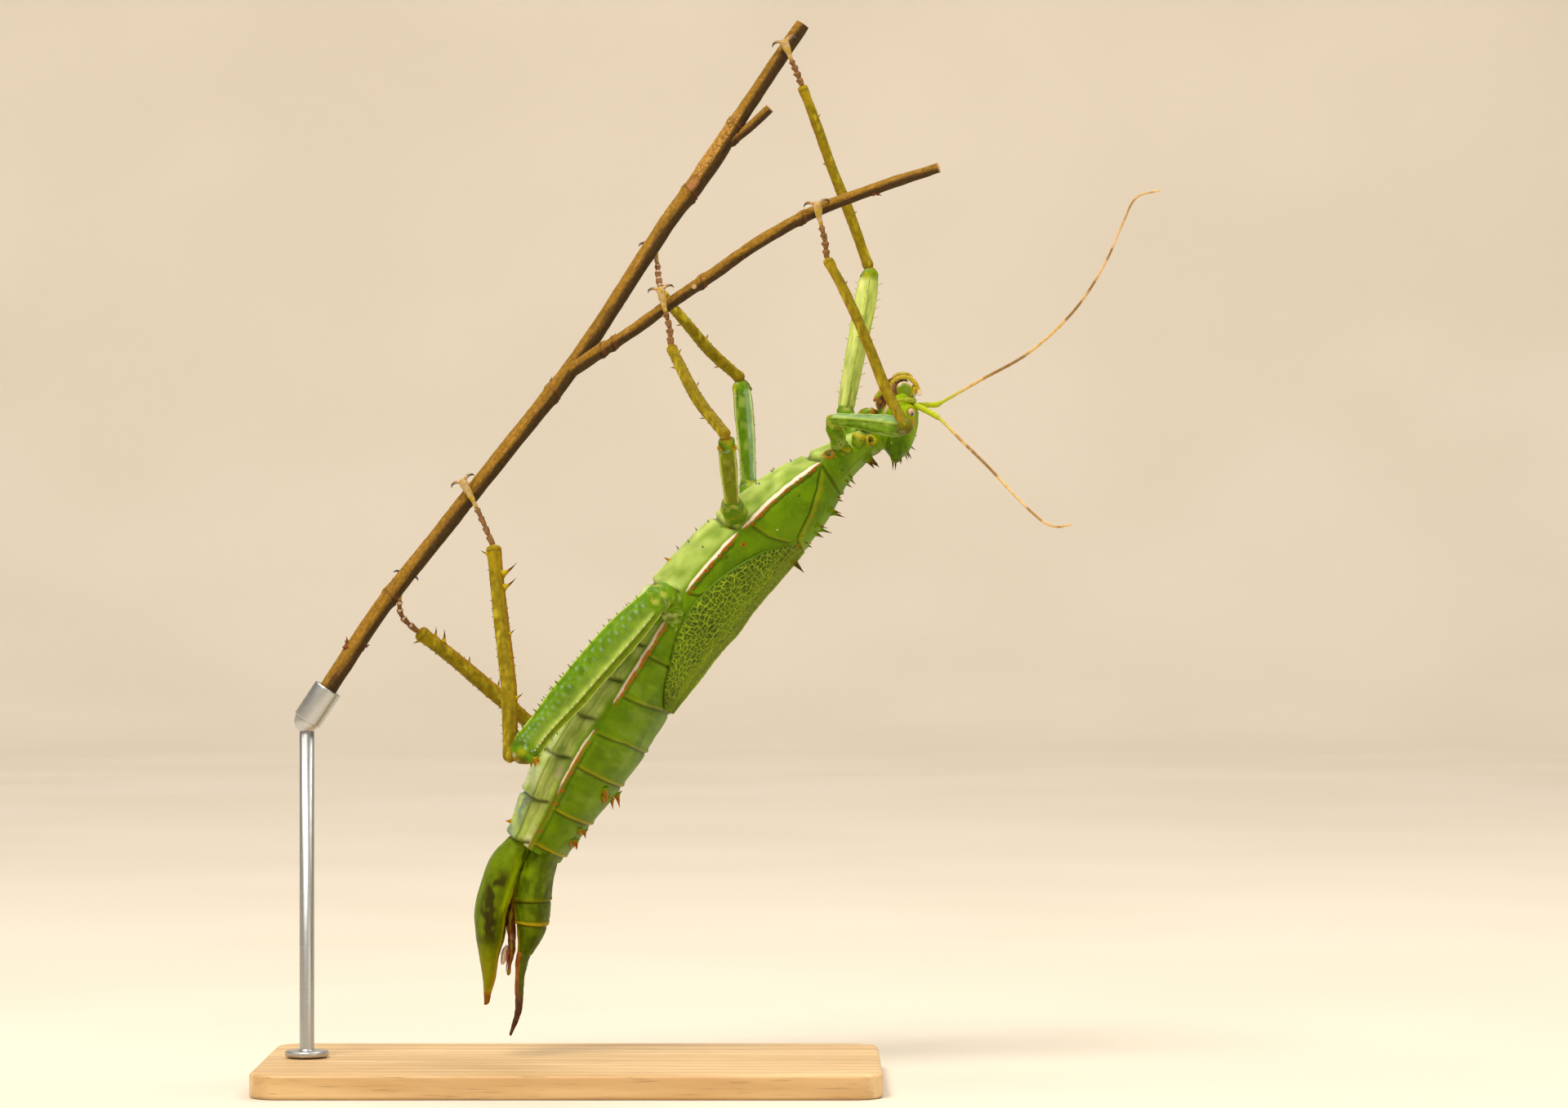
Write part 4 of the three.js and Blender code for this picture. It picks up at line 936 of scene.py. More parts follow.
def add_keels(trunk):
    """The pale ridge along each side with its orange edge, and the brown one behind it."""
    wobble, grain = noise(trunk.rings, 2.5, seed=3), noise(trunk.rings, 0.7, seed=34)
    for first, last, width, brown in KEELS:
        length = trunk.between(first, last, soft=2)
        gap = trunk.off(0) + 0.15 * wobble + 0.04 * grain
        half = width * 0.55 * np.sqrt(length) * (1 + 0.12 * grain)
        trunk.push((0.5 * bell(gap, 0.6) - 0.2 * bell(gap - 0.9, 0.4)) * length)
        there = ramp(length, 0.02, 0.2)
        main = ramp(half - np.abs(gap + 0.25), -0.08, 0.08) * there
        trunk.tint("rust" if brown else "pale", (0.5 if brown else 1) * main)
        trunk.tint("dark", 0.5 * brown * main)
        edge = np.abs(gap + 0.25 - half - 0.1)
        rim = (0.4 if brown else 0.85) * ramp(0.17 - edge, -0.08, 0.08) * there
        trunk.tint("rust", rim * ramp(wobble + grain, -0.7, 0.3))
        trunk.tint("dark", 0.5 * bell(gap - 0.8, 0.22) * length)


def add_keel_warts(skin, trunk):
    """The row of orange warts along each keel."""
    for first, last, pitch in KEEL_TUBERCLES:
        for place in np.arange(first, last, pitch / STATION_MM):
            jitter = chance(np.array([place, 1]), 5) - 0.5
            length, radius = 0.5 + 0.4 * abs(jitter), 0.26 + 0.2 * abs(jitter)
            for side in (-1, 1):
                skin.thorn(trunk, place + 0.1 * jitter, 0.012, length, radius, side=side, paints=WART)


def add_back_plates(trunk):
    """The sutures and rims of the back, which is smooth between them."""
    leaf = noise(trunk.rings, 3, seed=9)
    back = ramp(trunk.turn, 0, 0.08)
    for border, rim in BACK_BORDERS:
        distance = trunk.past(border)
        trunk.push(back * (0.28 * bell(distance + 0.5, 0.5) - 0.35 * bell(distance - 0.1, 0.3)))
        trunk.tint("gold", back * 0.6 * rim * bell(distance + 0.45, 0.22 + 0.2 * rim))
        trunk.tint("dark", back * 0.75 * bell(distance - 0.08, 0.24))
        trunk.tint("dark", back * 0.3 * rim * bell(distance + 0.9, 0.15))
    creases = np.abs(noise(trunk.rings * [1, 1, 0.6], 2.2, seed=21))
    folds = ramp(-creases, -0.08, 0) * ramp(leaf, -0.2, 0.5) * back
    trunk.push(-0.06 * folds + 0.12 * leaf * back)
    trunk.tint("dark", 0.1 * folds)
    cross = noise(plane(trunk.past(7), trunk.off(0.5) * 0.25), 0.9, seed=35)
    rough = back * ramp(trunk.past(6.8), 0, 3)
    trunk.push(0.05 * rough * cross)
    trunk.tint("bright", 0.06 * rough * ramp(cross, 0.1, 0.9))
    trunk.tint("dark", 0.12 * rough * ramp(-cross, 0.1, 0.9))
    for line, first, last, depth in BACK_SUTURES:
        length = trunk.between(first, last)
        gap = trunk.off(line)
        trunk.push(length * (0.14 * depth * bell(gap - 0.9, 0.9) - 0.3 * depth * bell(gap, 0.28)))
        trunk.tint("dark", 0.8 * depth * length * bell(gap, 0.23))
        trunk.tint("gold", 0.25 * depth * length * bell(gap - 0.9, 0.5))


def add_belly_plates(trunk):
    """Pale sternites, partly painted light, painted shade in the gaps, and loose, creased skin beside."""
    belly = ramp(-trunk.turn, 0.02, 0.1)
    abdomen = ramp(trunk.past(6.3), 0, 2)
    belly_noise = noise(trunk.rings, 2, seed=4)
    # The belly is lighter: partly its own paler colour, partly painted light on the side turned up to the
    # key lamp, with less of it on the thorax.
    lit = belly * (0.46 + 0.28 * ramp(-trunk.turn, 0.15, 0.55) + 0.36 * belly_noise)
    trunk.tint("bright", lit * (0.68 + 0.32 * abdomen))
    plate = ramp(-trunk.turn, 0.3, 0.36) * abdomen
    trunk.push(0.5 * plate + 0.15 * belly * belly_noise + 0.06 * belly * noise(trunk.rings, 0.8, seed=14))
    trunk.tint("blue", 0.45 * plate * ramp(belly_noise, -0.6, 0.4))
    # Painted shade along the edge of the raised plates.
    trunk.tint("dark", 0.7 * abdomen * bell(trunk.off(-0.3), 0.25))
    last = ramp(trunk.past(11.7), 0, 3) * ramp(-trunk.turn, 0.2, 0.4)
    trunk.fade("bright", 0.85 * last * ramp(belly_noise, -0.6, 0.2))
    trunk.tint("dark", 0.5 * last * ramp(belly_noise + 0.5 * noise(trunk.rings, 0.9, seed=36), 0, 0.6))
    fringe = 0.4 * ramp(trunk.past(10.8), 0, 3) * bell(trunk.off(-0.1), 0.8)
    trunk.tint("pale", fringe * ramp(-belly_noise, -0.2, 0.4))
    for place in BELLY_BORDERS:
        gap = trunk.past(place) - 1.5 * ramp(-trunk.turn, 0, 0.3)
        trunk.push(-belly * 0.8 * bell(gap, 0.5) + 0.25 * belly * bell(gap + 1, 0.7))
        # The dark band in each gap between sternites is painted shade.
        trunk.tint("dark", 0.8 * belly * bell(gap, 0.38))
        for turn, shift in BELLY_SPOTS:
            spot = trunk.spot(place - shift, turn, 0.3) * abdomen
            trunk.push(0.25 * spot)
            trunk.tint("rust", spot)
    crinkle = noise(trunk.rings, 0.55, seed=37)
    pleat = np.sin(trunk.off(-0.16) * 4.2 + 2.5 * noise(trunk.rings, 2.2, seed=8) + 0.8 * crinkle)
    loose = abdomen * bell(trunk.off(-0.17), 1.8)
    trunk.push(0.12 * loose * pleat + 0.05 * belly * abdomen * crinkle)
    # Gold on the crests of the pleats; the dark in their troughs is painted shade.
    trunk.tint("gold", 0.2 * loose * ramp(pleat, 0.5, 1) * ramp(belly_noise, -0.2, 0.5))
    trunk.tint("dark", 0.4 * loose * ramp(-pleat, 0.6, 1) * ramp(belly_noise, -0.5, 0.2))
    trunk.tint("dark", 0.2 * belly * abdomen * ramp(crinkle + belly_noise, 0.6, 1.2))


def add_marks(trunk):
    """Single marks of the thorax: a boss with a dark middle, a ring, pits and stripes."""
    uneven = noise(trunk.rings, 0.8, seed=33)
    for place, turn, radius, paint in TRUNK_RINGS:
        gap, rim = np.hypot(trunk.past(place), trunk.off(turn)) + 0.3 * radius * uneven, 0.5 * radius
        trunk.push((0.6 + 0.4 * uneven) * radius * bell(gap - radius, rim) - 0.5 * bell(gap, radius * 0.6))
        trunk.tint(paint, (0.8 + 0.4 * uneven) * bell(gap - radius, rim))
        trunk.tint("dark", 0.6 * bell(gap - radius, 0.5) * ramp(-uneven, 0, 0.5))
        trunk.tint("dark", 0.9 * bell(gap, radius * 0.6))
    for place, turn, radius in TRUNK_PITS:
        pit = trunk.spot(place, turn, radius)
        trunk.push(-0.2 * pit)
        trunk.tint("dark", 0.7 * pit)


def tip_paints(tip, collar=None):
    """Paints of a spine: a tip, which runs through rust where it is dark, and a collar or none."""
    if tip == "dark":
        paints = {"rust": lambda share: 0.5 * ramp(share, 0.3, 0.5),
                  "dark": lambda share: 0.9 * ramp(share, 0.35, 0.6)}
    else:
        paints = {tip: lambda share: 0.9 * ramp(share, 0.05, 0.45)}
    if collar:
        paints[collar] = lambda share: 0.9 * bell(share - 0.2, 0.22)
    return paints


# Paints of spines, by the share of the way to the tip.
DARK_TIP = tip_paints("dark")
BLUE_COLLAR = tip_paints("dark", "blue")
GOLD_COLLAR = tip_paints("dark", "gold")
AMBER_TIP = tip_paints("rust", "gold")
PINK_TIP = {"pale": lambda share: 0.6 + 0 * share, "rust": lambda share: 0.85 * ramp(share, 0.25, 0.7)}
WART = {"rust": lambda share: 0.95 - 0.2 * share}
BUD = {"rust": lambda share: 0.7 + 0 * share, "dark": lambda share: 0.6 * share}
FILAMENT = {"rust": lambda share: 0.5 - 0.4 * share}


def add_body_spines(skin, trunk):
    """The thorns of the back and of the thorax's underside, alike on both sides."""
    for (tip, collar), spines in BODY_SPINES.items():
        for place, turn, length, radius, lean in spines:
            for side in (-1, 1):
                skin.thorn(trunk, place, turn, length, radius, lean, 0.15 * lean, side,
                           paints=tip_paints(tip, collar))


def add_lobe(skin, number, middle, pole, sizes, paints):
    """A soft, creased lobe of the side, with a rim along its upper edge."""
    lobe = pebble(middle, pole, (1, 0, 0), sizes, rings=40, sides=64)
    creases = noise(lobe.rings, 0.8, seed=110 + number)
    lobe.push(0.16 * creases + 0.18 * bell(lobe.place - 0.7, 0.07))
    (first, share), (second, other) = paints
    lobe.tint(first, share * (0.4 * ramp(creases, 0, 0.6) + bell(lobe.place - 0.7, 0.1)))
    # The second paint lies in the troughs of the creases; where it is dark, it is painted shade.
    lobe.tint(second, other * ramp(-creases, 0, 0.6))
    lobe.tint("dark", 0.4 * bell(lobe.place - 0.56, 0.04))
    skin.cover(lobe)


def trunk_skin():
    """The trunk in one skin, with its plates, keels, tubercles and spines."""
    skin = Skin()
    trunk = trunk_surface()
    add_back_plates(trunk)
    add_belly_plates(trunk)
    add_keels(trunk)
    add_marks(trunk)
    skin.cover(trunk)
    add_keel_warts(skin, trunk)
    add_body_spines(skin, trunk)
    for number, lobe in enumerate(LOBES):
        add_lobe(skin, number, *lobe)
    skin.build("trunk_skin", BODY_GREEN, "cuticle_green", *TRUNK_NODES)


# ---- Wings ----

WING_STATIONS = [[row[0], 0, 0] for row in WINGS]
WING_SIZES = [row[1:] for row in WINGS]
TEGMEN_SPAN = (0.02, 0.9985)  # from the middle line to the outer margin
TEGMEN_UPPER_POINTS, TEGMEN_LOWER_POINTS, TEGMEN_ROWS = 170, 26, 340
TEGMEN_EDGE = 12  # how late its thickness falls off towards its edges
TEGMEN_HEM = ([0, 0.1, 0.3, 1], [0.955, 0.965, 0.985, 0.992])  # share of the length, side
NET_CELL, FINE_CELL = [1.35, 1], [0.7, 0.56]  # along and across the wing, in millimetres


def on_wings(share, side, depth):
    """Points of the wing roof. side runs from 0 at the middle line to 1 or -1, depth under it."""
    stations = spline(WING_STATIONS, share)[:, 0]
    size = spline(WING_SIZES, share)[:, None]
    centre, _, _, back, right = (part[:, None] for part in trunk_frame(stations))
    rise = (1 - np.abs(side) ** WING_SQUARENESS) ** 0.8
    height = size[..., 2] + (size[..., 1] - size[..., 2]) * rise - depth
    sideways = side * (size[..., 0] - depth * 0.6 * np.abs(side))
    return centre + right * sideways[..., None] + back * height[..., None], size[..., 0]


def tegmen_surface(sign):
    """One fore wing: a thin leaf. Its turn is the side on the upper face and negative below."""
    inner, margin = TEGMEN_SPAN
    upper = np.linspace(inner, margin, TEGMEN_UPPER_POINTS)
    lower = np.linspace(margin, inner, TEGMEN_LOWER_POINTS)
    side = np.concatenate([upper, lower])[None]
    across = 2 * (side - inner) / (margin - inner) - 1
    rounding = np.sqrt(np.clip(1 - np.abs(across) ** TEGMEN_EDGE, 0, 1))
    middle, half = TEGMEN_THICKNESS / 2, 0.5 * TEGMEN_THICKNESS * rounding
    above = np.concatenate([np.ones(len(upper)), -np.ones(len(lower))])[None]
    depth = middle - half * above
    shares = np.linspace(0, 1, TEGMEN_ROWS)
    rings, width = on_wings(shares, sign * side * np.ones((len(shares), 1)), depth)
    turn = np.broadcast_to(side * above, rings.shape[:2])
    return Surface(rings, shares, turn, np.broadcast_to(width * 1.15, rings.shape[:2]))


def tegmen_skin(name, sign):
    """A fore wing with its net of raised veins, long folds and smooth outer strip."""
    wing = tegmen_surface(sign)
    above = (wing.turn > 0).astype(float)
    across = wing.turn * wing.scale
    flat = plane(wing.along, across)
    warped = flat + 0.7 * plane(noise(flat, 2.6, 31), noise(flat, 2.6, 32))
    net = above * (1 - ramp(cell_borders(warped / NET_CELL, 41), 0.05, 0.2))
    fine = above * (1 - ramp(cell_borders(warped / FINE_CELL, 43), 0.03, 0.26))
    hem = np.interp(wing.place, *TEGMEN_HEM)
    strip = above * ramp(wing.turn - hem, 0, 0.008)
    field = above * ramp(-wing.off(WING_FOLD), 0, 0.6)
    net = net * (1 - strip) * (1 - 0.45 * field)
    fine = fine * (1 - strip) * (1 - 0.5 * field)
    ribs = np.zeros_like(net)
    for start in WING_RIBS:
        line = [(0, start + 0.02), (0.35, start * 0.62), (0.8, start * 0.5), (1, start * 0.35)]
        wave = 0.35 * noise(flat, 4, seed=int(start * 100))
        ribs = np.maximum(ribs, above * bell(wing.off(line) + wave, 0.17))
    wing.push(0.14 * net + 0.06 * fine + 0.12 * ribs + 0.06 * strip)
    wing.push(0.1 * above * noise(wing.rings, 4, seed=6))
    wing.push(-0.25 * above * bell(wing.off(WING_FOLD), 0.35))
    wing.tint("pale", 0.95 * net + 0.6 * fine)
    wing.tint("pale", 0.6 * ribs)
    wing.tint("bright", strip * 0.8)
    wing.tint("dark", 0.6 * above * bell(wing.off(WING_FOLD), 0.22))
    wing.tint("dark", 0.4 * above * bell((wing.turn - hem) * wing.scale, 0.12))
    tip = above * ramp(wing.place, 0.84, 0.97)
    wing.tint("dark", 0.45 * tip)
    wing.tint("rust", 0.12 * field)
    Skin(wing).build(name, WING_GREEN, "wing_green", name)


def hind_wing_skin():
    """The folded hind wings: a pleated fan that shows only at the edges of the fore wings."""
    start, end, upper, lower, sink, pleats = 0.06, 0.975, 0.94, 0.85, 3, 40
    shares, angle = np.linspace(0, 1, 120), turns(96)
    each = np.ones((len(shares), 1))
    along = start + (end - start) * shares
    top, _ = on_wings(along, np.cos(angle)[None] * upper * each, TEGMEN_THICKNESS + 0.4)
    stations = spline(WING_STATIONS, along)[:, 0]
    half = spline(WING_SIZES, along)[:, :1] * lower
    centre, _, _, back, right = (part[:, None] for part in trunk_frame(stations))
    under = centre + right * (np.cos(angle) * half)[..., None] + back * (np.sin(angle) * sink)[:, None]
    rings = np.where((np.sin(angle) >= 0)[:, None], top, under)
    fan = Surface(rings, shares, np.degrees(angle)[None] * each, 0.2, 360)
    wave = np.sin(np.radians(fan.turn) * pleats)
    fan.push(0.12 * wave * ramp(np.sin(angle), 0, 0.2))
    fan.tint("rust", 0.35 * ramp(wave, 0.4, 1))
    Skin(fan).build("hind_wings_folded", WING_GREEN, "wing_green", "hind_wings")


# ---- Limbs ----


DOME_TILTS = [84, 66, 48, 32, 16]  # of the rings of a limb's domed end, in degrees


def limb_surface(rows, pitch=0.3, sides=48, square=1, domes=(0.8, 0.8)):
    """A limb of oval section with domed ends, through rows of [x, y, z, half depth, half thickness].

    Its turn is in degrees: 0 on the deep side, 90 towards the animal's right. A square below 1
    makes the section boxy. domes are the heights of its ends as shares of their radius.
    """
    rows = np.asarray(rows, float)
    rows = rows if rows.shape[1] == 5 else np.column_stack([rows, rows[:, 3]])
    length = np.sum(np.linalg.norm(np.diff(rows[:, :3], axis=0), axis=1))
    shares = np.linspace(0, 1, max(6, round(length / pitch)))
    bulge = np.radians(DOME_TILTS)
    first, last = domes[0] * rows[0, 3], domes[1] * rows[-1, 3]
    place = np.concatenate([
        -np.sin(bulge) * first / length, shares, 1 + np.sin(bulge[::-1]) * last / length])
    inside = np.clip(place, 0, 1)
    shrink = np.concatenate([np.cos(bulge), np.ones(len(shares)), np.cos(bulge[::-1])])[:, None]
    along = slope(rows[:, :3], inside)
    centre = spline(rows[:, :3], inside) + along * ((place - inside) * length)[:, None]
    size = spline(rows[:, 3:], inside) * shrink
    deep = unit(np.cross(ACROSS, along))
    thick = np.cross(along, deep)
    angle = turns(sides)
    cosine = np.sign(np.cos(angle)) * np.abs(np.cos(angle)) ** square
    sine = np.sign(np.sin(angle)) * np.abs(np.sin(angle)) ** square
    rings = (centre[:, None] + deep[:, None] * (size[:, :1] * cosine)[..., None]
             + thick[:, None] * (size[:, 1:] * sine)[..., None])
    turn = np.broadcast_to(np.degrees(angle), rings.shape[:2])
    return Surface(rings, place, turn, size.mean(axis=1, keepdims=True) * math.pi / 180, 360)


def spine_row(skin, limb, turn, first, last, pitch, length, radius, paints, lean=0.25, seed=0):
    """A row of spines along a limb, a little uneven in place and length."""
    total = limb.along[-1, 0]
    count = max(1, round((last - first) * total / pitch))
    for number in range(count):
        luck = chance(np.array([[number, 0], [number, 1], [number, 2]]), seed)
        place = first + (last - first) * (number + 0.5 + 0.4 * (luck[0] - 0.5)) / count
        skin.thorn(limb, place, turn + 14 * (luck[1] - 0.5), length * (0.7 + 0.6 * luck[2]),
                   radius * (0.8 + 0.3 * luck[2]), lean, paints=paints, sides=6)


def pair_and_outside(leg):
    """The leg's pair, and the turn that looks away from the body."""
    pair, side = leg.split("_")
    return pair, 270 if side == "left" else 90


def coxa_and_femur(leg):
    """The lobed coxa, the trochanter ring and the ridged femur of one leg, in one skin."""
    pair, outer = pair_and_outside(leg)
    skin = Skin()
    coxa = limb_surface(LEGS[leg]["coxa"], pitch=0.25, sides=56, domes=(0.9, 0.9))
    wrinkles = noise(coxa.rings, 1.6, seed=2)
    coxa.push(0.28 * wrinkles + 0.35 * bell(coxa.off(outer), 0.8) - 0.12 * bell(coxa.past(0.85), 0.3))
    coxa.tint("bright", 0.3 * ramp(wrinkles, 0.2, 0.8) + 0.5 * bell(coxa.off(180), 0.6))
    coxa.tint("gold", 0.45 * bell(coxa.off(190) + 0.3 * wrinkles, 0.4) + 0.25 * bell(coxa.past(0.9), 0.3))
    coxa.tint("dark", 0.35 * bell(coxa.past(0.2), 0.7) + 0.4 * ramp(-wrinkles, 0.3, 0.8))
    # The mid coxae carry painted shade over their outer face.
    if pair == "mid":
        coxa.tint("dark", 0.25 * bell(coxa.off(outer), 3))
    if pair == "fore":
        coxa.tint("dark", 0.25 * bell(coxa.off(outer + 15), 1.5))
        coxa.tint("rust", 0.45 * bell(coxa.past(0.15), 0.6) * ramp(wrinkles, -0.4, 0.2))
    skin.cover(coxa)
    spine_row(skin, coxa, outer, 0.2, 0.8, 1.6, 0.6, 0.25, BLUE_COLLAR)
    ring = limb_surface(trochanter_rows(leg), pitch=0.2, sides=48)
    ring.push(0.2 * noise(ring.rings, 1.1, seed=5))
    patches = noise(ring.rings, 1.2, seed=7)
    ring.tint("rust", 0.5 * ramp(patches, 0.4, 0.8))
    ring.tint("gold", 0.25 * ramp(-patches, 0.2, 0.6) + 0.3 * bell(ring.off(180), 0.4))
    ring.tint("bright", 0.3 * ramp(-patches, -0.1, 0.8))
    ring.tint("blue", 0.2 * bell(ring.past(0.8), 0.3) * ramp(patches, -0.2, 0.3))
    ring.tint("dark", 0.4 * bell(ring.past(0.1), 0.15) + 0.3 * bell(ring.past(0.95), 0.15))
    skin.cover(ring)
    femur = limb_surface(LEGS[leg]["femur"], pitch=0.2, sides=88, square=FEMUR_SQUARE.get(leg, 0.72))
    shape_femur(skin, femur, leg)
    skin.build(f"thigh_{leg}", LEG_GREEN, "leg_green", f"coxa_{leg}", f"femur_{leg}")


def trochanter_rows(leg):
    """A short ring that joins the end of a coxa to the start of a femur."""
    coxa_end = np.array(LEGS[leg]["coxa"][-1], float)
    femur_start = np.array(LEGS[leg]["femur"][0], float)
    middle = (coxa_end + femur_start) / 2
    middle[3:] *= 1.1
    return [coxa_end - [0, 0, 0, 0.1, 0.1], middle, femur_start + [0, 0, 0, 0.15, 0.15]]


def shape_femur(skin, femur, leg):
    """Ridges with bright crests, painted faces between them, a swollen knee and spines."""
    pair, outer = pair_and_outside(leg)
    ridges = FEMUR_RIDGES.get(leg) or FEMUR_RIDGES[pair]
    grain = noise(femur.rings, 1.8, seed=12)
    whole = ramp(femur.past(0), 0, 1.5) * ramp(-femur.past(1), 0, 1.5)
    for ridge in ridges:
        femur.push(0.3 * whole * bell(femur.off(ridge), 0.3))
        femur.tint("bright", (0.45 if leg == "fore_left" else 0.8) * whole * bell(femur.off(ridge), 0.22))
    femur.push(0.08 * grain)
    knee = ramp(femur.past(0.9), -1, 1)
    femur.push(0.35 * knee * bell(femur.off(outer), 1.4) + 0.2 * knee * grain)
    femur.tint("gold", (0 if leg == "fore_left" else 0.45) * knee * ramp(grain, 0, 0.6))
    # The fore left femur has painted shade over its knee end, with a little rust.
    if leg == "fore_left":
        femur.tint("rust", 0.3 * ramp(femur.past(0.93), -1, 1.5))
        femur.tint("dark", 0.5 * ramp(femur.past(0.82), -2, 2) * ramp(femur.off(300), -1.5, 1.5))
        femur.tint("dark", 0.45 * ramp(femur.past(0.93), -1, 1.5))
    femur.tint("blue", 0.5 * knee * ramp(noise(femur.rings, 0.7, seed=13), 0.45, 0.7))
    femur.tint("rust", 0.6 * bell(femur.past(1) - 1.6, 0.5))
    femur.tint("dark", 0.5 * knee * ramp(-grain, 0.1, 0.7))
    if pair == "hind":
        shape_hind_femur(skin, femur, outer)
        return
    streaks = noise(plane(femur.along * 0.22, femur.off(270)), 0.5, seed=16)
    femur.tint("bright", 0.3 * whole * ramp(streaks, 0, 0.7))
    for face, half, paint, share in FEMUR_FACES[leg]:
        lane = whole * ramp(femur.scale * half - np.abs(femur.off(face)), -0.1, 0.3)
        femur.push(-0.12 * whole * bell(femur.off(face), 0.5))
        femur.tint(paint, share * lane * (0.85 + 0.3 * streaks))
    for face in ridges:
        slit = whole * bell(femur.off(face + 20), 0.13) * ramp(noise(femur.rings, 3, seed=face), 0, 0.4)
        femur.push(-0.1 * slit)
        femur.tint("dark", 0.55 * slit)
    skin.cover(femur)
    if leg in FEMUR_SPINES:
        for number, ridge in enumerate(ridges):
            size = FEMUR_SPINES[leg] * (1.6 if ridge == 0 else 1)
            spine_row(skin, femur, ridge, 0.06, 0.93, 2.3, size, 0.16, PINK_TIP, lean=0.6, seed=number)
        for turn in (outer - 45, outer + 45):
            skin.thorn(femur, 1, turn, 1, 0.45, lean=0.8, paints=AMBER_TIP)


def shape_hind_femur(skin, femur, outer):
    """Bands, a knobbed middle ridge, scale-like bumps with painted highlights and dark edge spines."""
    sign = 1 if outer == 90 else -1
    middle, strip = outer + 29 * sign, outer + 16 * sign
    whole = ramp(femur.past(0.03), 0, 1.5) * ramp(-femur.past(0.93), 0, 2.5)
    femur.push(0.55 * whole * bell(femur.off(middle), 0.4) - 0.25 * whole * bell(femur.off(strip), 0.7))
    femur.push(-0.3 * whole * bell(femur.off(middle + 14 * sign), 0.5))
    femur.tint("bright", 0.2 * whole * bell(femur.off(strip), 0.8)
               + 0.35 * whole * bell(femur.off(middle), 0.35))
    femur.tint("gold", 0.12 * whole * bell(femur.off(outer + 60 * sign), 1))
    femur.tint("dark", 0.15 * ramp(noise(femur.rings, 1.4, seed=17), 0, 0.8) * whole)
    femur.tint("dark", 0.3 * whole * bell(femur.off(middle + 14 * sign), 0.4))
    for number, place in enumerate(np.arange(*HIND_SCALES)):
        luck = chance(np.array([number, 3]), 2)
        column = outer - (8 + 22 * (number % 2) + 6 * luck) * sign
        step, across = femur.past(place), femur.off(column)
        femur.push((0.14 + 0.14 * luck) * bell(np.hypot(step, 0.8 * across), 0.5))
        # Each bump has a painted highlight: a blue-white spot set a little along from its middle.
        femur.tint("blue", (0.15 + 0.4 * luck) * bell(np.hypot(step - 0.25, across), 0.28))
    for place in np.arange(*HIND_KNOBS):
        knob = femur.spot(place, middle, 0.22)
        femur.push(0.3 * knob)
        femur.tint("pale", ramp(knob, 0.4, 0.8))
    skin.cover(femur)
    for seed, (*row, lean) in enumerate(HIND_SPINE_ROWS, 3):
        spine_row(skin, femur, *row, DARK_TIP, lean, seed)
    for turn, place in HIND_KNEE_SPINES:
        skin.thorn(femur, place, turn, 1.7, 0.5, lean=0.7, paints=AMBER_TIP)


def tibia_skin(leg):
    """A tapering tibia with edge teeth, larger thorns and a lobed knee end."""
    pair, outer = pair_and_outside(leg)
    skin = Skin()
    tibia = limb_surface(LEGS[leg]["tibia"], pitch=0.2, sides=48, square=0.85, domes=(0.9, 0.5))
    grain = noise(tibia.rings * [1, 1, 0.35], 0.7, seed=15)
    tibia.push(0.06 * grain + 0.18 * bell(tibia.off(outer), 0.3))
    for ridge in (0, 180):
        tibia.push(0.12 * bell(tibia.off(ridge), 0.3))
    tibia.push(KNEE_LOBE[leg] * ramp(tibia.past(0), 1.6, 0.2) + 0.15 * ramp(tibia.past(0.96), -1, 0.5))
    # Painted highlight: bright streaks along one side of the tibia.
    tibia.tint("bright", 0.8 * ramp(grain, -0.2, 0.8) * ramp(tibia.off(outer), 0.2, -0.8))
    tibia.tint("rust", 0.35 * bell(tibia.off(TIBIA_BROWN_EDGE[pair]), 0.5))
    tibia.tint("dark", 0.3 * bell(tibia.off(outer) - 0.45, 0.15) * ramp(grain, -0.3, 0.3))
    tibia.tint("gold", 0.25 * ramp(tibia.past(0.9), -1.5, 1))
    tibia.tint("dark", 0.5 * bell(tibia.past(0.985), 0.25))
    skin.cover(tibia)
    for seed, turn in enumerate(TOOTH_TURNS, 20):
        spine_row(skin, tibia, turn, 0.06, 0.95, TOOTH_PITCH[pair], TOOTH_LENGTH[pair], 0.15, DARK_TIP,
                  lean=0.3, seed=seed)
    for place, turn, length in TIBIA_THORNS[leg]:
        skin.thorn(tibia, place, turn, length, 0.12 * length + 0.16, lean=0.25, bend=0.35,
                   paints=GOLD_COLLAR)
    skin.build(f"shin_{leg}", SHIN_OLIVE, "tibia_olive", f"tibia_{leg}")


def tarsus_rows(leg):
    """The rows of the tarsus's line with the girth of its joints: four short ones and a long last."""
    line = np.array(LEGS[leg]["tarsus"], float)
    shares = np.array([place for place, _ in TARSUS_GIRTHS])
    girths = np.array([girth for _, girth in TARSUS_GIRTHS])
    return np.column_stack([spline(line, shares), girths, girths * 0.92])


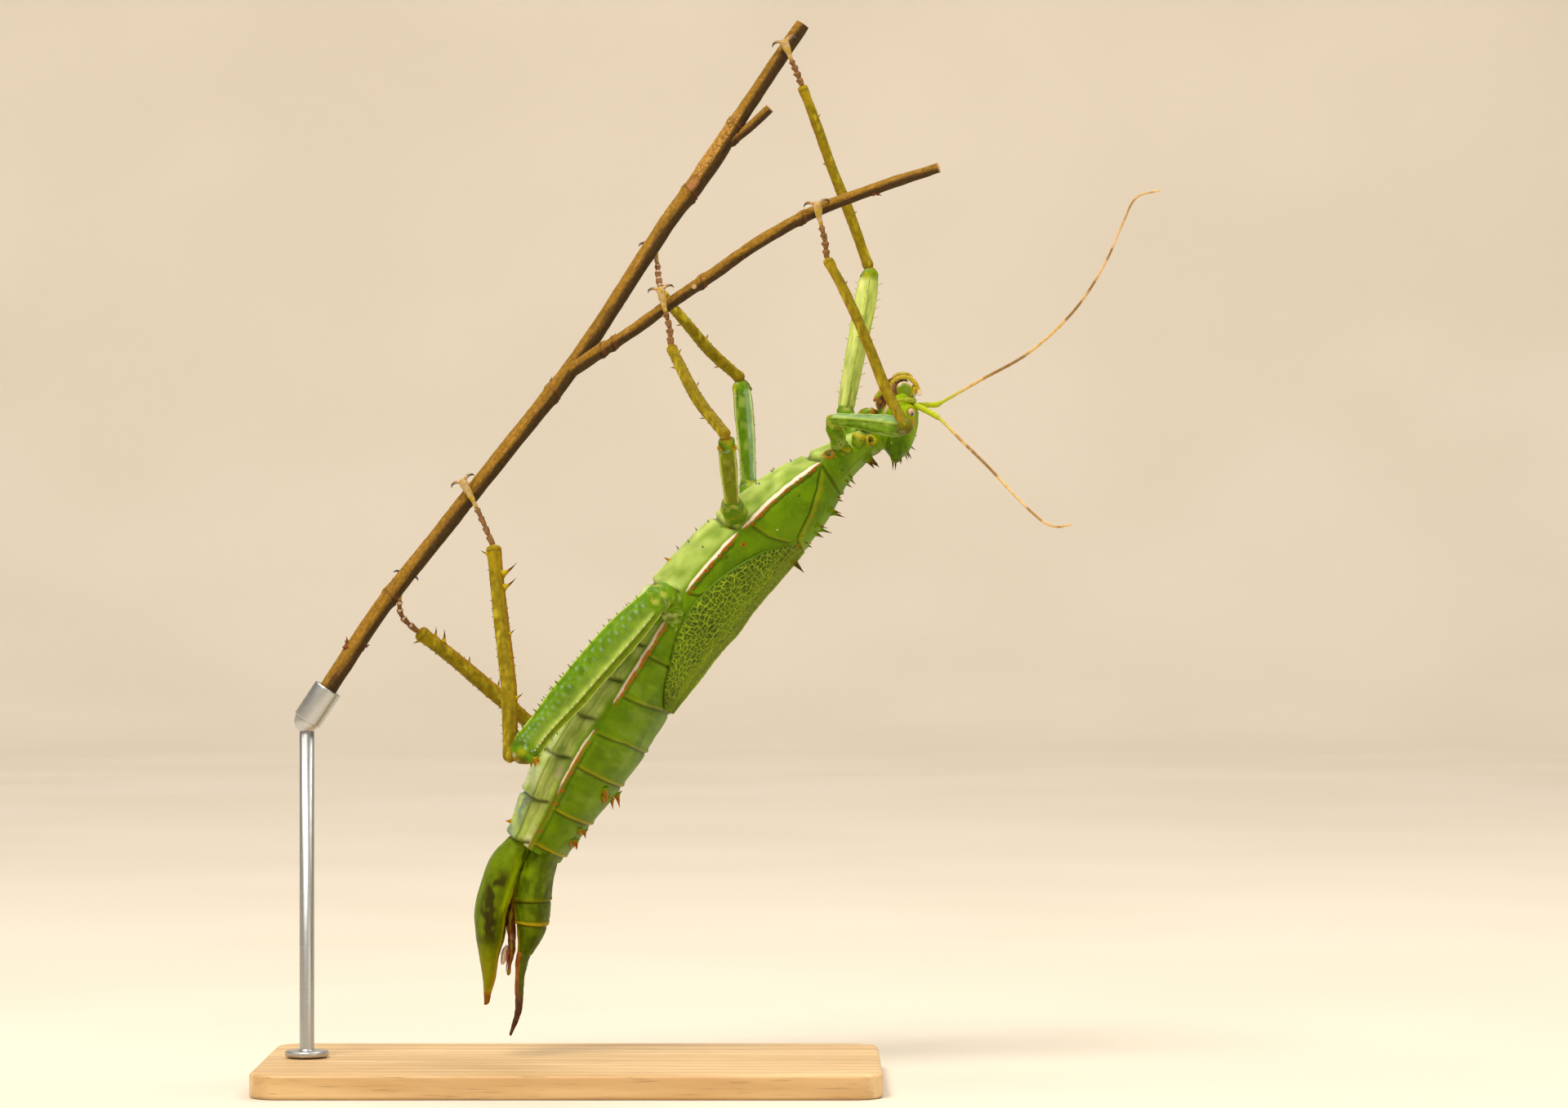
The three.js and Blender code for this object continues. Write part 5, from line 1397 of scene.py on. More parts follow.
def tarsus_skin(leg):
    """Four short padded joints, a long last one, and two hooked claws of horn."""
    towards = LEGS[leg]["claws"]
    line = np.array(LEGS[leg]["tarsus"], float)
    skin = Skin()
    rows = tarsus_rows(leg)
    foot = limb_surface(rows, pitch=0.11, sides=40, domes=(0.5, 0.9))
    grain = noise(foot.rings, 0.5, seed=25)
    foot.push(0.09 * grain)
    last = ramp(foot.past(TARSUS_LAST), -0.4, 0.8)
    sole = 90 if towards > 0 else 270
    for place in TARSUS_JOINTS:
        foot.push(-0.13 * bell(foot.past(place), 0.14) + 0.06 * bell(foot.past(place) + 0.4, 0.3))
        pad = foot.spot(place - PAD_SHIFT, sole, 0.35) + foot.spot(place - PAD_SHIFT, sole + 70, 0.3)
        foot.push(0.2 * pad)
        foot.tint("pale", 0.6 * ramp(pad, 0.3, 0.8))
        foot.tint("dark", 0.6 * bell(foot.past(place), 0.1))
    foot.tint("gold", last * (0.55 + 0.3 * grain))
    foot.tint("pale", last * (0.15 - 0.25 * grain))
    foot.tint("rust", (1 - last) * ramp(grain, 0.2, 0.8) * 0.4)
    foot.tint("dark", (1 - last) * ramp(-grain, 0.1, 0.7) * 0.4)
    foot.push(0.12 * ramp(foot.past(0.93), -0.5, 0.3))
    skin.cover(foot)
    skin.build(f"foot_{leg}", FOOT_BROWN, "tarsus_brown", f"tarsus_{leg}")
    end, along = spline(line, 1)[0], slope(line, 1)[0]
    sideways = unit(np.cross(ACROSS, along))
    claws = Skin()
    for sign in (-1, 1):
        claw(claws, end, along, sideways * sign, ACROSS * towards)
    claws.build(f"claws_{leg}", HORN, "tarsus_brown", f"tarsus_{leg}")


def claw(skin, end, along, outwards, inwards):
    """A hook that leaves the foot sideways and curls over the twig."""
    rows = []
    for reach, out, over, girth in CLAW:
        rows.append([*(end + along * reach + outwards * out + inwards * over), girth, girth])
    hook = limb_surface(rows, pitch=0.12, sides=16, domes=(0.8, 1))
    hook.tint("gold", ramp(-hook.past(0.45), -0.9, 0.9))
    hook.tint("blue", 0.25 * bell(hook.past(0.7), 0.5))
    skin.cover(hook)


# ---- Tail ----


def in_body_plane(rows):
    """Limb rows in the body's plane, from rows of [x, z, half depth, half thickness]."""
    return [[x, 0, z, deep, wide] for x, z, deep, wide in rows]


def tail_skin():
    """The last three rings of the abdomen, with double rims of dark and yellow."""
    tail = limb_surface(in_body_plane(TAIL_END), pitch=0.2, sides=200, domes=(0.4, 0.6))
    grain, blots = noise(tail.rings, 1.1, seed=51), noise(tail.rings * [1, 1, 0.7], 2, seed=52)
    tail.push(0.1 * grain + 0.06 * blots)
    for place, rim in TAIL_BORDERS:
        gap = tail.past(place) + 0.08 * grain
        tail.push(0.22 * bell(gap + 0.5, 0.45) - 0.3 * bell(gap - 0.1, 0.2))
        tail.tint("gold", 0.75 * rim * bell(gap + 0.45, 0.4))
        tail.tint("dark", 0.8 * bell(gap, 0.15) + 0.5 * rim * bell(gap + 1.05, 0.13))
    tail.tint("dark", 0.45 * ramp(tail.past(0.2), 0, 4) * ramp(blots + 0.7 * grain, -0.2, 1))
    tail.tint("bright", 0.22 * ramp(-blots + 0.7 * grain, 0.1, 1.2))
    for edge in TAIL_KEELS:
        tail.push(0.3 * bell(tail.off(edge), 0.5))
        tail.tint("gold", 0.6 * bell(tail.off(edge), 0.5))
        tail.tint("rust", 0.7 * bell(tail.off(edge), 0.3))
    Skin(tail).build("tail_skin", TAIL_GREEN, "cuticle_green", "abdomen_8", "abdomen_9", "abdomen_10")


def beak_skin():
    """The pointed shell over the egg-laying tube, green that runs into purplish brown."""
    beak = limb_surface(in_body_plane(BEAK), pitch=0.15, sides=72, domes=(0.4, 1))
    grain = noise(beak.rings, 0.8, seed=53)
    beak.push(0.08 * grain + 0.2 * bell(beak.off(0), 0.4) * ramp(beak.past(0.15), 0, 2))
    back = ramp(np.abs(beak.off(0)) - 0.75 * beak.scale * 90, -0.3, 0.4)
    upper = ramp(-beak.past(0.62), -2.5, 2.5)
    beak.tint("bright", 0.95 * upper * back)
    beak.tint("gold", 0.35 * upper * (1 - back) * ramp(grain, -0.4, 0.4))
    beak.tint("rust", 0.5 * upper * (1 - back))
    beak.tint("dark", 0.45 * upper * back * ramp(-grain, 0.1, 0.6) + 0.5 * ramp(beak.past(0.6), 0, 4))
    Skin(beak).build("beak_shell", TAIL_BROWN, "tail_brown", "beak")


def subgenital_skin():
    """The boat-shaped plate under the tail: bright with painted highlights, then mottled dark, with a yellow
    rim.
    """
    plate = limb_surface(in_body_plane(SUBGENITAL_PLATE), pitch=0.17, sides=200, domes=(0.5, 1))
    grain = noise(plate.rings * [1, 1, 0.55], 1.8, seed=55)
    fine = noise(plate.rings * [1, 1, 0.6], 0.8, seed=56)
    streaks = grain + 0.6 * fine
    plate.push(0.12 * grain + 0.08 * fine + 0.25 * bell(plate.off(180), 0.7))
    middle = np.minimum(np.abs(plate.off(275)), np.abs(plate.off(85)))
    blotch = ramp(plate.past(0.22), 0, 4) * ramp(-plate.past(0.74), -1, 4) * ramp(-middle, -4.6, -1.6)
    # Painted highlight: lit and glow lay bright streaks down the two sides of the plate, on its front half.
    lit = np.minimum(np.abs(plate.off(225)), np.abs(plate.off(135)))
    glow = bell(lit, 2) * ramp(-plate.past(0.5), -2, 3) * ramp(streaks, -0.6, 0.4)
    plate.tint("bright", 0.15 + 0.75 * glow)
    plate.tint("gold", 0.3 * ramp(plate.past(0.6), 0, 10))
    plate.tint("dark", 0.95 * blotch * ramp(streaks, -0.5, 0.3) + 0.3 * bell(plate.off(0), 0.5))
    plate.tint("rust", 0.7 * ramp(plate.past(0.95), -0.6, 0.8))
    plate.tint("dark", 0.5 * ramp(plate.past(0.96), -0.4, 0.8))
    for edge in PLATE_RIMS:
        rim = ramp(plate.past(0.15), 0, 3)
        plate.push(0.25 * rim * bell(plate.off(edge), 0.4))
        plate.tint("gold", 0.8 * rim * bell(plate.off(edge), 0.35))
        plate.tint("rust", 0.4 * rim * bell(plate.off(edge), 0.25))
    Skin(plate).build("subgenital_shell", TAIL_GREEN, "cuticle_green", "subgenital_plate")


def valve_skin():
    """The orange-brown valves inside, with their fine hanging filaments."""
    valves = limb_surface(in_body_plane(INNER_VALVES), pitch=0.15, sides=64, domes=(0.6, 1))
    grain = noise(valves.rings * [1, 1, 0.4], 0.6, seed=57)
    valves.push(0.16 * grain + 0.25 * bell(valves.off(270), 0.4) + 0.25 * bell(valves.off(90), 0.4))
    valves.tint("gold", 0.5 * ramp(grain, -0.3, 0.4))
    valves.tint("rust", 0.45 * ramp(-grain, -0.2, 0.5))
    valves.tint("pale", 0.5 * bell(valves.past(0.55), 1.2) * ramp(-grain, 0.2, 0.7))
    skin = Skin(valves)
    lump = pebble(VALVE_LUMP, (0.25, 0, 1), (1, 0, 0), (0.7, 0.9, 2.1), rings=36, sides=40)
    lump.push(0.1 * noise(lump.rings, 0.7, seed=58))
    lump.tint("pale", 0.85)
    skin.cover(lump)
    for x, y, z in FILAMENTS:
        skin.spine((x, y, z), (-0.12, 0.1 * y, -1), 4.6, 0.26, paints=FILAMENT)
    skin.build("valves", TAIL_BROWN, "tail_brown", "inner_valves")


# ---- Head ----


def pebble(centre, pole, front, sizes, rings=30, sides=56):
    """A rounded lump: sizes are its half sizes to the front, to the side and along the pole."""
    pole = unit(pole)
    side = unit(np.cross(pole, front))
    front = np.cross(side, pole)
    tilt = np.linspace(-0.49, 0.49, rings) * np.pi
    angle = turns(sides)
    points = (np.asarray(centre) + np.sin(tilt)[:, None, None] * pole * sizes[2]
              + np.cos(tilt)[:, None, None] * (np.cos(angle)[:, None] * front * sizes[0]
                                               + np.sin(angle)[:, None] * side * sizes[1]))
    turn = np.broadcast_to(np.degrees(angle), points.shape[:2])
    scale = np.cos(tilt)[:, None] * max(sizes[:2]) * math.pi / 180
    return Surface(points, np.linspace(0, 1, rings), turn, scale, 360)


def head_skin():
    """The head capsule and neck: a smooth crown, edged cheeks and a ring of spines."""
    head = limb_surface(HEAD, pitch=0.16, sides=140, domes=(0.7, 0.9))
    grain = noise(head.rings, 1.5, seed=61)
    x, y, z = np.moveaxis(head.rings, -1, 0)
    side = np.abs(y - HEAD_MIDDLE + 0.25 * (139 - z))
    head.push(0.08 * grain)
    near_side = ramp(side, 2.2, 3.4)
    cheek = x - np.interp(z, *CHEEK_EDGE)
    rear = ramp(-cheek, 0, 0.6) * ramp(z, 134.8, 136)
    head.push(near_side * (0.3 * bell(cheek - 0.1, 0.35) * ramp(z, 134.6, 135.6)) - 0.5 * near_side * rear)
    head.tint("rust", 0.8 * near_side * bell(cheek, 0.42) * ramp(z, 134.8, 135.8))
    head.tint("pale", 0.8 * near_side * bell(cheek - 0.42, 0.16) * ramp(z, 135.2, 136.4))
    head.tint("dark", 0.9 * near_side * rear)
    groove = z - np.interp(x, *MOUTH_GROOVE)
    head.push(0.22 * bell(groove + 0.35, 0.35) - 0.2 * bell(groove - 0.15, 0.2))
    head.tint("gold", 0.75 * bell(groove + 0.1, 0.45))
    head.tint("bright", 0.8 * ramp(z, 135.5, 138) * (1 - rear))
    head.tint("dark", 0.35 * ramp(-z, -133.5, -131) * ramp(-x, -68.5, -67))
    eye_x, _, eye_z = EYE["place"]
    socket = np.sqrt((x - eye_x) ** 2 + (z - eye_z) ** 2)
    head.push(near_side * (0.4 * bell(socket - 1.2, 0.35)))
    head.tint("gold", 0.5 * near_side * bell(socket - 1.15, 0.22))
    patch = near_side * bell(np.hypot(x - CHEEK_PATCH[0], z - CHEEK_PATCH[1]), 0.75)
    head.push(0.15 * patch)
    head.tint("gold", patch)
    head.tint("rust", 0.5 * patch)
    head.tint("bright", 0.5 * ramp(x, 68, 70))
    streak = near_side * bell(x - CHEEK_STREAK[0], 0.22) * bell(z - CHEEK_STREAK[1], 0.6)
    head.tint("pale", ramp(streak, 0.3, 0.7))
    head.tint("blue", 0.6 * ramp(129 - z, 0, 1.5) * ramp(x, 67, 68.5))
    skin = Skin(head)
    neck = limb_surface(NECK, pitch=0.2, sides=72, domes=(0.3, 0.3))
    neck.push(0.08 * np.sin(neck.along * 4) + 0.15 * noise(neck.rings, 1, seed=62))
    neck.tint("bright", 0.25)
    neck.tint("dark", 0.4 * ramp(np.sin(neck.along * 4), 0.4, 1))
    skin.cover(neck)
    for root, tip, radius, collar in CROWN_SPINES:
        reach = np.subtract(tip, root)
        length = np.linalg.norm(reach) + 0.2
        skin.spine(root, reach, length, radius, paints=tip_paints("dark", collar), sides=10)
    skin.build("head_capsule", HEAD_GREEN, "cuticle_green", "head")


def eye_skin(name, sign):
    """A domed eye with its dark spot turned forward and out."""
    x, spread, z = EYE["place"]
    radius = EYE["radius"]
    outwards = (0.35, sign, 0.05)
    middle = (x, HEAD_MIDDLE - 0.3 + sign * (spread - 0.55), z)
    eye = pebble(middle, outwards, (0, 0, 1), (radius, radius * 0.92, radius * 0.92), rings=40, sides=64)
    facing = unit(eye.rings - np.asarray(middle)) @ unit([0.5, sign, -0.42])
    eye.tint("dark", ramp(facing, 0.91, 0.94))
    eye.tint("gold", 0.6 * ramp(-facing, -0.35, -0.1))
    Skin(eye).build(name, EYE_PINK, "eye_pink", name)


def mouth_skin():
    """The jaws as two glossy domes, the lip in front of them, and the dark hollow behind."""
    skin = Skin()
    hollow = limb_surface(MOUTH_HOLLOW, pitch=0.2, sides=72, domes=(0.6, 0.8))
    folds = noise(hollow.rings * [1, 1, 0.5], 0.7, seed=71)
    hollow.push(0.25 * folds)
    hollow.tint("dark", 0.75 + 0.2 * ramp(-folds, 0, 0.5))
    hollow.tint("rust", 0.95)
    stripe = bell(hollow.off(180), 0.5) * ramp(hollow.past(0.6), 1, -1)
    hollow.push(0.2 * stripe)
    hollow.fade("dark", 0.9 * stripe)
    hollow.fade("rust", 0.9 * stripe)
    skin.cover(hollow)
    x, spread, z = JAW["place"]
    for sign in (-1, 1):
        middle = (x, MOUTH_MIDDLE + sign * spread, z)
        jaw = pebble(middle, (0.25, sign, 0.1), (0, 0, 1), JAW["sizes"], rings=36, sides=72)
        jaw.push(-0.16 * ramp(jaw.place, 0.66, 0.9) + 0.14 * bell(jaw.place - 0.6, 0.06))
        jaw.tint("bright", ramp(jaw.place, 0.55, 0.7))
        front = ramp(np.cos(np.radians(jaw.turn - (90 if sign > 0 else 270))), -0.2, 0.5)
        top = ramp(np.cos(np.radians(jaw.turn)), 0.3, 0.9)
        edge = bell(jaw.place - 0.6, 0.1)
        jaw.tint("gold", edge * np.maximum(front, 0.4))
        jaw.tint("pale", 0.8 * edge * top * ramp(jaw.place, 0.52, 0.6))
        jaw.tint("gold", 0.35 * ramp(noise(jaw.rings, 0.8, seed=72), 0.3, 0.9))
        skin.cover(jaw)
    lip = pebble(LIP["place"], (0.25, 0, 1), (1, 0, 0), LIP["sizes"], rings=36, sides=72)
    notch = bell(lip.rings[..., 1] - MOUTH_MIDDLE, 0.45) * ramp(lip.place, 0.7, 1)
    lip.push(-0.35 * notch + 0.08 * noise(lip.rings, 0.7, seed=73))
    lip.tint("gold", 0.85)
    lip.tint("rust", 0.5 * ramp(noise(lip.rings, 0.9, seed=74), 0, 0.6))
    lip.tint("pale", ramp(lip.place, 0.75, 0.98))
    lip.tint("blue", 0.7 * bell(lip.place - 0.25, 0.12))
    skin.cover(lip)
    brow = limb_surface(BROW, pitch=0.15, sides=40)
    brow.push(0.06 * noise(brow.rings, 0.8, seed=75))
    brow.tint("gold", 0.12 + 0.2 * noise(brow.rings, 1.2, seed=76))
    skin.cover(brow)
    skin.build("jaws", MOUTH_GREEN, "mouth_yellow", "mouthparts")


def jointed(skin, rows, joints, tip, gold, seed):
    """A thin jointed palp, swollen before each joint and tipped with the given paint."""
    palp = limb_surface(rows, pitch=0.09, sides=32, domes=(0.6, 0.9))
    specks = noise(palp.rings, 0.35, seed=seed)
    palp.push(0.03 * specks)
    for joint in joints:
        palp.push(0.03 * bell(palp.past(joint) + 0.35, 0.3) - 0.05 * bell(palp.past(joint), 0.1))
        palp.tint("dark", 0.4 * bell(palp.past(joint), 0.08))
    palp.tint("gold", gold)
    # Rust specks are the palp's own; the rust along one side is painted shade, and the pale line along the
    # opposite side is a painted highlight.
    palp.tint("rust", 0.55 * ramp(specks, 0.3, 0.7) + 0.5 * gold * bell(palp.off(180), 0.3))
    palp.tint("pale", 0.4 * bell(palp.off(0), 0.25))
    palp.tint(tip, ramp(palp.past(0.9), -0.4, 0.4))
    skin.cover(palp)


def palp_skin(name, sign):
    """The long palp that curls over the mouth, and two short spotted ones behind it."""
    skin = Skin()
    out = MOUTH_MIDDLE + sign * 1.5
    shown, lift = (8, 0) if sign < 0 else (6, 0.75)  # the right one is shorter and raised
    rows = [[x, out + sign * 0.5 * bell(x - 66, 2), z + lift * ramp(z, 141.6, 143.6), 0.45, 0.5]
            for x, z in LONG_PALP[:shown]]
    jointed(skin, rows, (0.22, 0.5, 0.78), "pale", 0.8, seed=81)
    for palp, joints, seed in ((HOOKED_PALP, (0.3, 0.66), 82), (STUB_PALP, (0.5,), 83)):
        rows = [[x, HEAD_MIDDLE + sign * y, *rest] for x, y, *rest in palp]
        jointed(skin, rows, joints, "rust", 0.25, seed)
    skin.build(name, MOUTH_GREEN, "mouth_yellow", name)


def antenna_skin(name):
    """A jointed feeler: a thick green base, then straw with brown bands and a pink end."""
    feeler = limb_surface(ANTENNAE[name], pitch=0.1, sides=24, domes=(0.6, 0.9))
    length = feeler.along[-1, 0]
    *first, last = ANTENNA_FIRST_JOINTS
    for where in [*first, *np.arange(last, length, ANTENNA_PITCH)]:
        gap = feeler.along - where
        feeler.push(0.03 * bell(gap + 0.3, 0.25) - 0.05 * bell(gap, 0.12))
        feeler.tint("dark", 0.2 * bell(gap, 0.09))
    share = feeler.along / length
    specks = noise(feeler.rings, 1.3, seed=91)
    band = noise(plane(feeler.along * 0.28, 0), 1, seed=92)
    feeler.tint("bright", 1 - ramp(feeler.along, 5, 14))
    bands = ramp(share, 0.12, 0.3) * ramp(band + 0.4 * specks, 0.1, 0.5)
    feeler.tint("rust", 0.3 * bands)
    feeler.tint("dark", 0.6 * bands * (1 - 0.4 * ramp(share, 0.6, 0.9)) * ramp(feeler.off(20), 0.5, -0.4))
    feeler.tint("pale", 0.8 * ramp(share, 0.55, 0.9) * ramp(-band, -0.4, 0.3))
    Skin(feeler).build(name, ANTENNA_STRAW, "antenna_straw", name)


# ---- Twig and stand ----


def twig_surface(rows, nodes, sides=96):
    """Bark with long ridges, cracks that run along, rings at the nodes, pale cut ends and painted light on
    one side.
    """
    twig = limb_surface(rows, pitch=0.22, sides=sides, domes=(0.06, 0.06))
    rows = np.asarray(rows, float)
    way = unit(rows[-1, :3] - rows[0, :3])
    lengthwise = twig.rings - 0.86 * (twig.rings @ way)[..., None] * way
    ridges = 0.6 * noise(lengthwise, 0.32, seed=101) + 0.5 * noise(lengthwise, 0.8, seed=106)
    cracks = ramp(-np.abs(noise(lengthwise, 0.6, seed=102)), -0.06, -0.01)
    cracks = cracks * ramp(noise(twig.rings, 4, seed=107), -0.1, 0.4)
    grains = noise(twig.rings, 0.5, seed=103)
    # upper marks the side turned to the key lamp. The bright paint there is painted light, shown as ochre by
    # the bark finish; the rest of the bark is painted shade in dark brown. The gold grain is laid on the lit
    # side only.
    upper = ramp(-np.cos(np.radians(twig.turn - 20)) + 0.35 * noise(lengthwise, 1.2, seed=104), 0, 0.7)
    bark = ((twig.place > 0) & (twig.place < 1)).astype(float)
    swell = noise(twig.rings, 5, seed=105)
    twig.push(bark * (0.09 * ridges - 0.08 * cracks + 0.05 * upper * grains + 0.1 * swell))
    twig.tint("bright", upper * bark)
    twig.tint("dark", (0.4 * cracks + 0.25 * ramp(-ridges, 0.2, 0.7)) * bark)
    twig.tint("gold", 0.4 * upper * ramp(grains + ridges, 0.3, 0.9) * bark)
    for node in nodes:
        gap = twig.past(node) + 0.5 * np.cos(np.radians(twig.turn))
        twig.push(0.32 * bell(gap, 0.9) - 0.18 * bell(gap - 0.2, 0.2) - 0.12 * bell(gap - 1, 0.15))
        twig.tint("dark", 0.6 * bell(gap - 0.2, 0.18))
        twig.tint("rust", 0.25 * bell(gap - 0.8, 0.4))
    twig.tint("pale", 1 - bark)
    return twig


def stem_skin():
    """The stem with its broken side shoot, a scar, buds and a corky stretch."""
    skin = Skin()
    stem = twig_surface(STEM, STEM_NODES, sides=110)
    place, turn = STEM_SCAR
    scar = bell(np.hypot(stem.past(place) / 1.8, stem.off(turn)), 1)
    stem.push(-0.15 * ramp(scar, 0.3, 0.9) + 0.2 * bell(scar - 0.25, 0.12))
    stem.tint("pale", 0.35 * ramp(scar, 0.3, 0.7))
    stem.tint("rust", 0.4 * ramp(scar, 0.15, 0.4))
    # The corky stretch keeps to the side that carries the painted light.
    corky = stem.between(*CORKY_STRETCH, soft=1.5) * (stem.paints["bright"] > 0.5)
    lumps = ramp(np.abs(noise(stem.rings, 0.42, seed=108)), 0.05, 0.3)
    stem.push(0.14 * corky * lumps)
    stem.tint("gold", 0.75 * corky * lumps)
    stem.tint("dark", 0.3 * corky * (1 - lumps))
    skin.cover(stem)
    skin.cover(twig_surface(SHOOT, (0.5,), sides=56))
    add_buds(skin, stem, BUDS["stem"])
    skin.build("stem_bark", BARK, "bark", "perch_stem")


def add_buds(skin, twig, buds):
    """Small pointed buds of two scales, lying against the bark."""
    for place, turn, size in buds:
        point, normal, forward = twig.at(place, turn)
        for share, lean in ((1, 1.12), (0.7, 0.56)):
            skin.spine(point - 0.3 * normal, normal + lean * forward, size * share, size * 0.3,
                       paints=BUD, sides=12)


def branch_skin():
    """The side branch with its scar and buds."""
    skin = Skin()
    branch = twig_surface(BRANCH, BRANCH_NODES, sides=84)
    scar = branch.spot(*BRANCH_SCAR, 0.6)
    branch.push(-0.15 * ramp(scar, 0.3, 0.9))
    branch.tint("pale", ramp(scar, 0.35, 0.6))
    skin.cover(branch)
    add_buds(skin, branch, BUDS["branch"])
    skin.build("branch_bark", BARK, "bark", "perch_branch")


def lathe(profile, centre, axis):
    """Rings turned round an axis from a profile of (radius, height)."""
    axis = unit(axis)
    side = unit(np.cross(axis, [0, 1, 0.02]))
    other = np.cross(axis, side)
    ring = circle(side, other, LATHE_SIDES)
    return np.array([np.asarray(centre) + axis * height + ring * max(radius, 1e-3)
                     for radius, height in profile])


def rounded(corners, radius):
    """A profile whose inner corners are rounded off."""
    corners = np.asarray(corners, float)
    profile = [corners[0]]
    for before, corner, after in zip(corners, corners[1:], corners[2:]):
        start = corner + unit(before - corner) * min(radius, 0.45 * np.linalg.norm(before - corner))
        end = corner + unit(after - corner) * min(radius, 0.45 * np.linalg.norm(after - corner))
        for t in np.linspace(0, 1, ROUNDING_STEPS):
            profile.append((1 - t) ** 2 * start + 2 * t * (1 - t) * corner + t**2 * end)
    profile.append(corners[-1])
    return profile


def rod_skin():
    """The upright rod with its flange, the ball, and the socket that holds the stem."""
    foot_end = np.array(STEM[0][:3])
    up = slope(np.array(STEM)[:, :3], 0)[0]
    ball = foot_end + up * (SOCKET["depth"] - SOCKET["length"])
    foot = BASE["thickness"] + GAP
    top = foot + ROD["flange_height"]
    skin = Skin()
    rod = rounded([(0, foot), (ROD["flange"], foot), (ROD["flange"], top), (ROD["radius"], top),
                   (ROD["radius"], ball[2])], ROD["round"])
    skin.tube(lathe(rod, (ball[0], ball[1], 0), (0, 0, 1)))
    tilts = np.linspace(-0.499, 0.499, BALL_RINGS) * np.pi
    globe = [(ROD["ball"] * math.cos(tilt), ROD["ball"] * math.sin(tilt)) for tilt in tilts]
    skin.tube(lathe(globe, ball, (0, 0, 1)))
    bore = STEM[0][3] + GAP
    outer = bore + SOCKET["wall"]
    bottom = SOCKET["length"] - SOCKET["depth"] - GAP
    cup = rounded([(0, 0), (outer, 0), (outer, SOCKET["length"]), (bore, SOCKET["length"]), (bore, bottom),
                   (0, bottom)], SOCKET["round"])
    skin.tube(lathe(cup, ball, up))
    skin.build("stand_rod_steel", STEEL, "steel", "stand_rod")


def base_skin():
    """The oak base: a plate with round corners and softened edges."""
    corner, edge = BASE["corner"], BASE["round"]
    arc = np.linspace(0, np.pi / 2, BASE_ARC)
    inset = [(edge, 0)] + [(edge * (1 - math.sin(a)), edge * (1 - math.cos(a))) for a in arc]
    inset += [(edge * (1 - math.cos(a)), BASE["thickness"] - edge * (1 - math.sin(a))) for a in arc]
    rings = []
    for shrink, height in inset:
        outline = []
        for quarter, (sx, sy) in enumerate(((1, 1), (-1, 1), (-1, -1), (1, -1))):
            for a in arc + quarter * np.pi / 2:
                outline.append([sx * (BASE["length"] / 2 - corner) + (corner - shrink) * math.cos(a),
                                sy * (BASE["width"] / 2 - corner) + (corner - shrink) * math.sin(a), height])
        rings.append(outline)
    skin = Skin()
    skin.tube(np.array(rings))
    skin.build("stand_base_oak", OAK, "oak", "stand_base")


# ---- Stage ----


def add_backdrop():
    """A round paper sheet: the floor, swept up into a low wall all round."""
    sweep, sides = BACKDROP["sweep"], BACKDROP["sides"]
    tilts = np.linspace(0, np.pi / 2, BACKDROP["arc"])
    line = [(BACKDROP["floor"] + sweep * math.sin(tilt), sweep * (1 - math.cos(tilt))) for tilt in tilts]
    line.append((line[-1][0], BACKDROP["height"]))
    points = [(radius * math.cos(a), radius * math.sin(a), z) for radius, z in line for a in turns(sides)]
    faces = [tuple(range(sides))]
    for ring, corner in itertools.product(range(len(line) - 1), range(sides)):
        here, beside = ring * sides + corner, ring * sides + (corner + 1) % sides
        faces.append((here, here + sides, beside + sides, beside))
    sheet = show("backdrop", smooth_mesh("backdrop", points, faces, backdrop_finish()))


def add_softbox(name, place, target, size, power, tone):
    """A round, soft lamp turned to its target."""
    lamp = bpy.data.lights.new(name, "AREA")
    lamp.shape = "DISK"
    lamp.size = size
    lamp.energy = power
    lamp.color = tone
    light = show(name, lamp)
    light.location = place
    light.rotation_euler = (Vector(target) - Vector(place)).to_track_quat("-Z", "Y").to_euler()


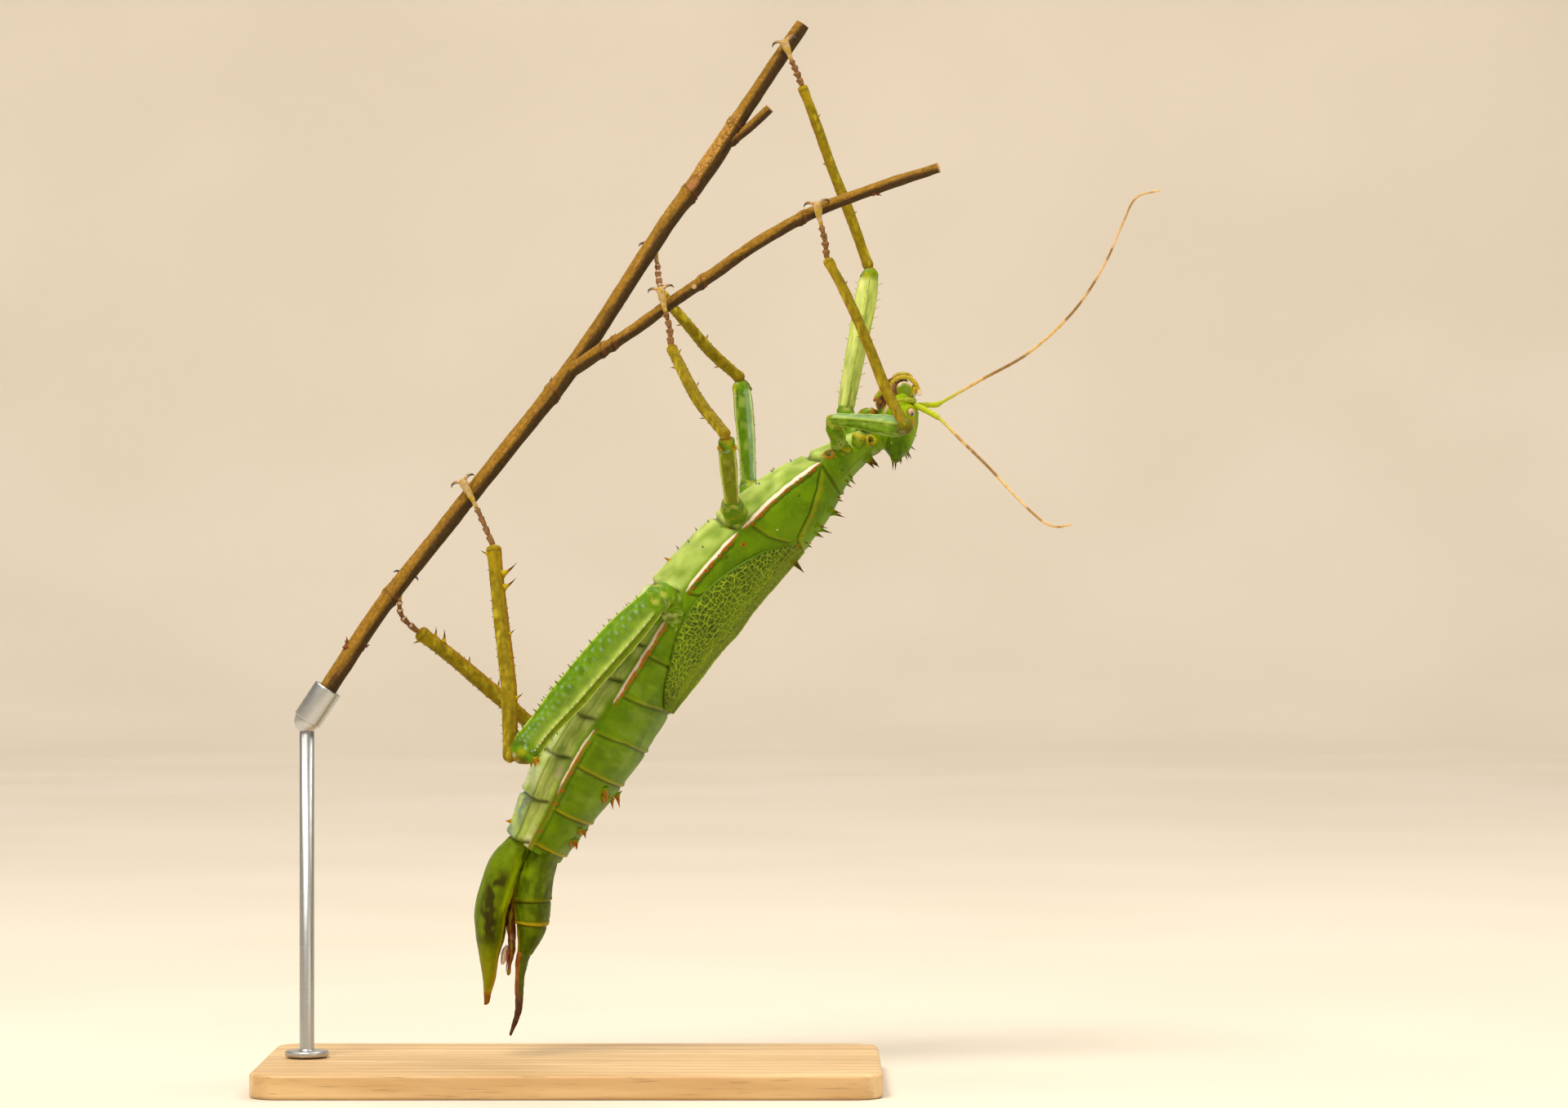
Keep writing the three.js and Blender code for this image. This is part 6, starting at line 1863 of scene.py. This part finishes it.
def add_light():
    """The softboxes and a dim, warm world."""
    world = bpy.data.worlds.new("studio")
    world.use_nodes = True
    glow = world.node_tree.nodes["Background"]
    glow.inputs["Color"].default_value = WORLD_TONE
    glow.inputs["Strength"].default_value = WORLD_STRENGTH
    bpy.context.scene.world = world
    for softbox in SOFTBOXES:
        add_softbox(*softbox)


# ---- The model ----

# The third colour of each shell is its bright paint. It is partly painted light on the trunk's belly, and a
# painted highlight on the subgenital plate and the tibiae.
BODY_GREEN = cuticle("body_green", "4e6e00", "678a00", "cfdd7c", coarse=5)
TAIL_GREEN = cuticle("tail_green", "3c4e00", "566b00", "a4c010", coarse=1.6)
HEAD_GREEN = cuticle("head_green", "406000", "5f8600", "93b306", rough=0.34, coarse=1.4)
LEG_GREEN = cuticle("leg_green", "4c7206", "6a9010", "cfdc74", coarse=1.8)
WING_GREEN = wing_finish()
SHIN_OLIVE = cuticle("shin_olive", "695a08", "8e7a10", "b2a228", coarse=1.2)
FOOT_BROWN = cuticle("foot_brown", "6a4a2c", "8c6840", "a9924c", coarse=0.8)
TAIL_BROWN = cuticle("tail_brown", "4c2f20", "6e4630", "4a5c12", coarse=1)
MOUTH_GREEN = cuticle(
    "mouth_green", "6f8a02", "9aac10", "667e00", rough=0.24, coarse=0.7, sheen=0.25, pitting=0.015)
ANTENNA_STRAW = cuticle("antenna_straw", "c0964c", "dcbc84", "a9b41c", pale="e2b898", coarse=1)
HORN = horn_finish()
EYE_PINK = eye_finish()
BARK = bark_finish()
OAK = oak_finish()
STEEL = steel_finish()

trunk_skin()
tegmen_skin("tegmen_left", -1)
tegmen_skin("tegmen_right", 1)
hind_wing_skin()
tail_skin()
beak_skin()
subgenital_skin()
valve_skin()
head_skin()
eye_skin("eye_left", -1)
eye_skin("eye_right", 1)
mouth_skin()
palp_skin("palps_left", -1)
palp_skin("palps_right", 1)
for feeler_name in ANTENNAE:
    antenna_skin(feeler_name)
for leg_name in LEGS:
    coxa_and_femur(leg_name)
    tibia_skin(leg_name)
    tarsus_skin(leg_name)
stem_skin()
branch_skin()
base_skin()
rod_skin()

add_backdrop()
add_light()
bpy.context.scene.view_settings.view_transform = "Standard"
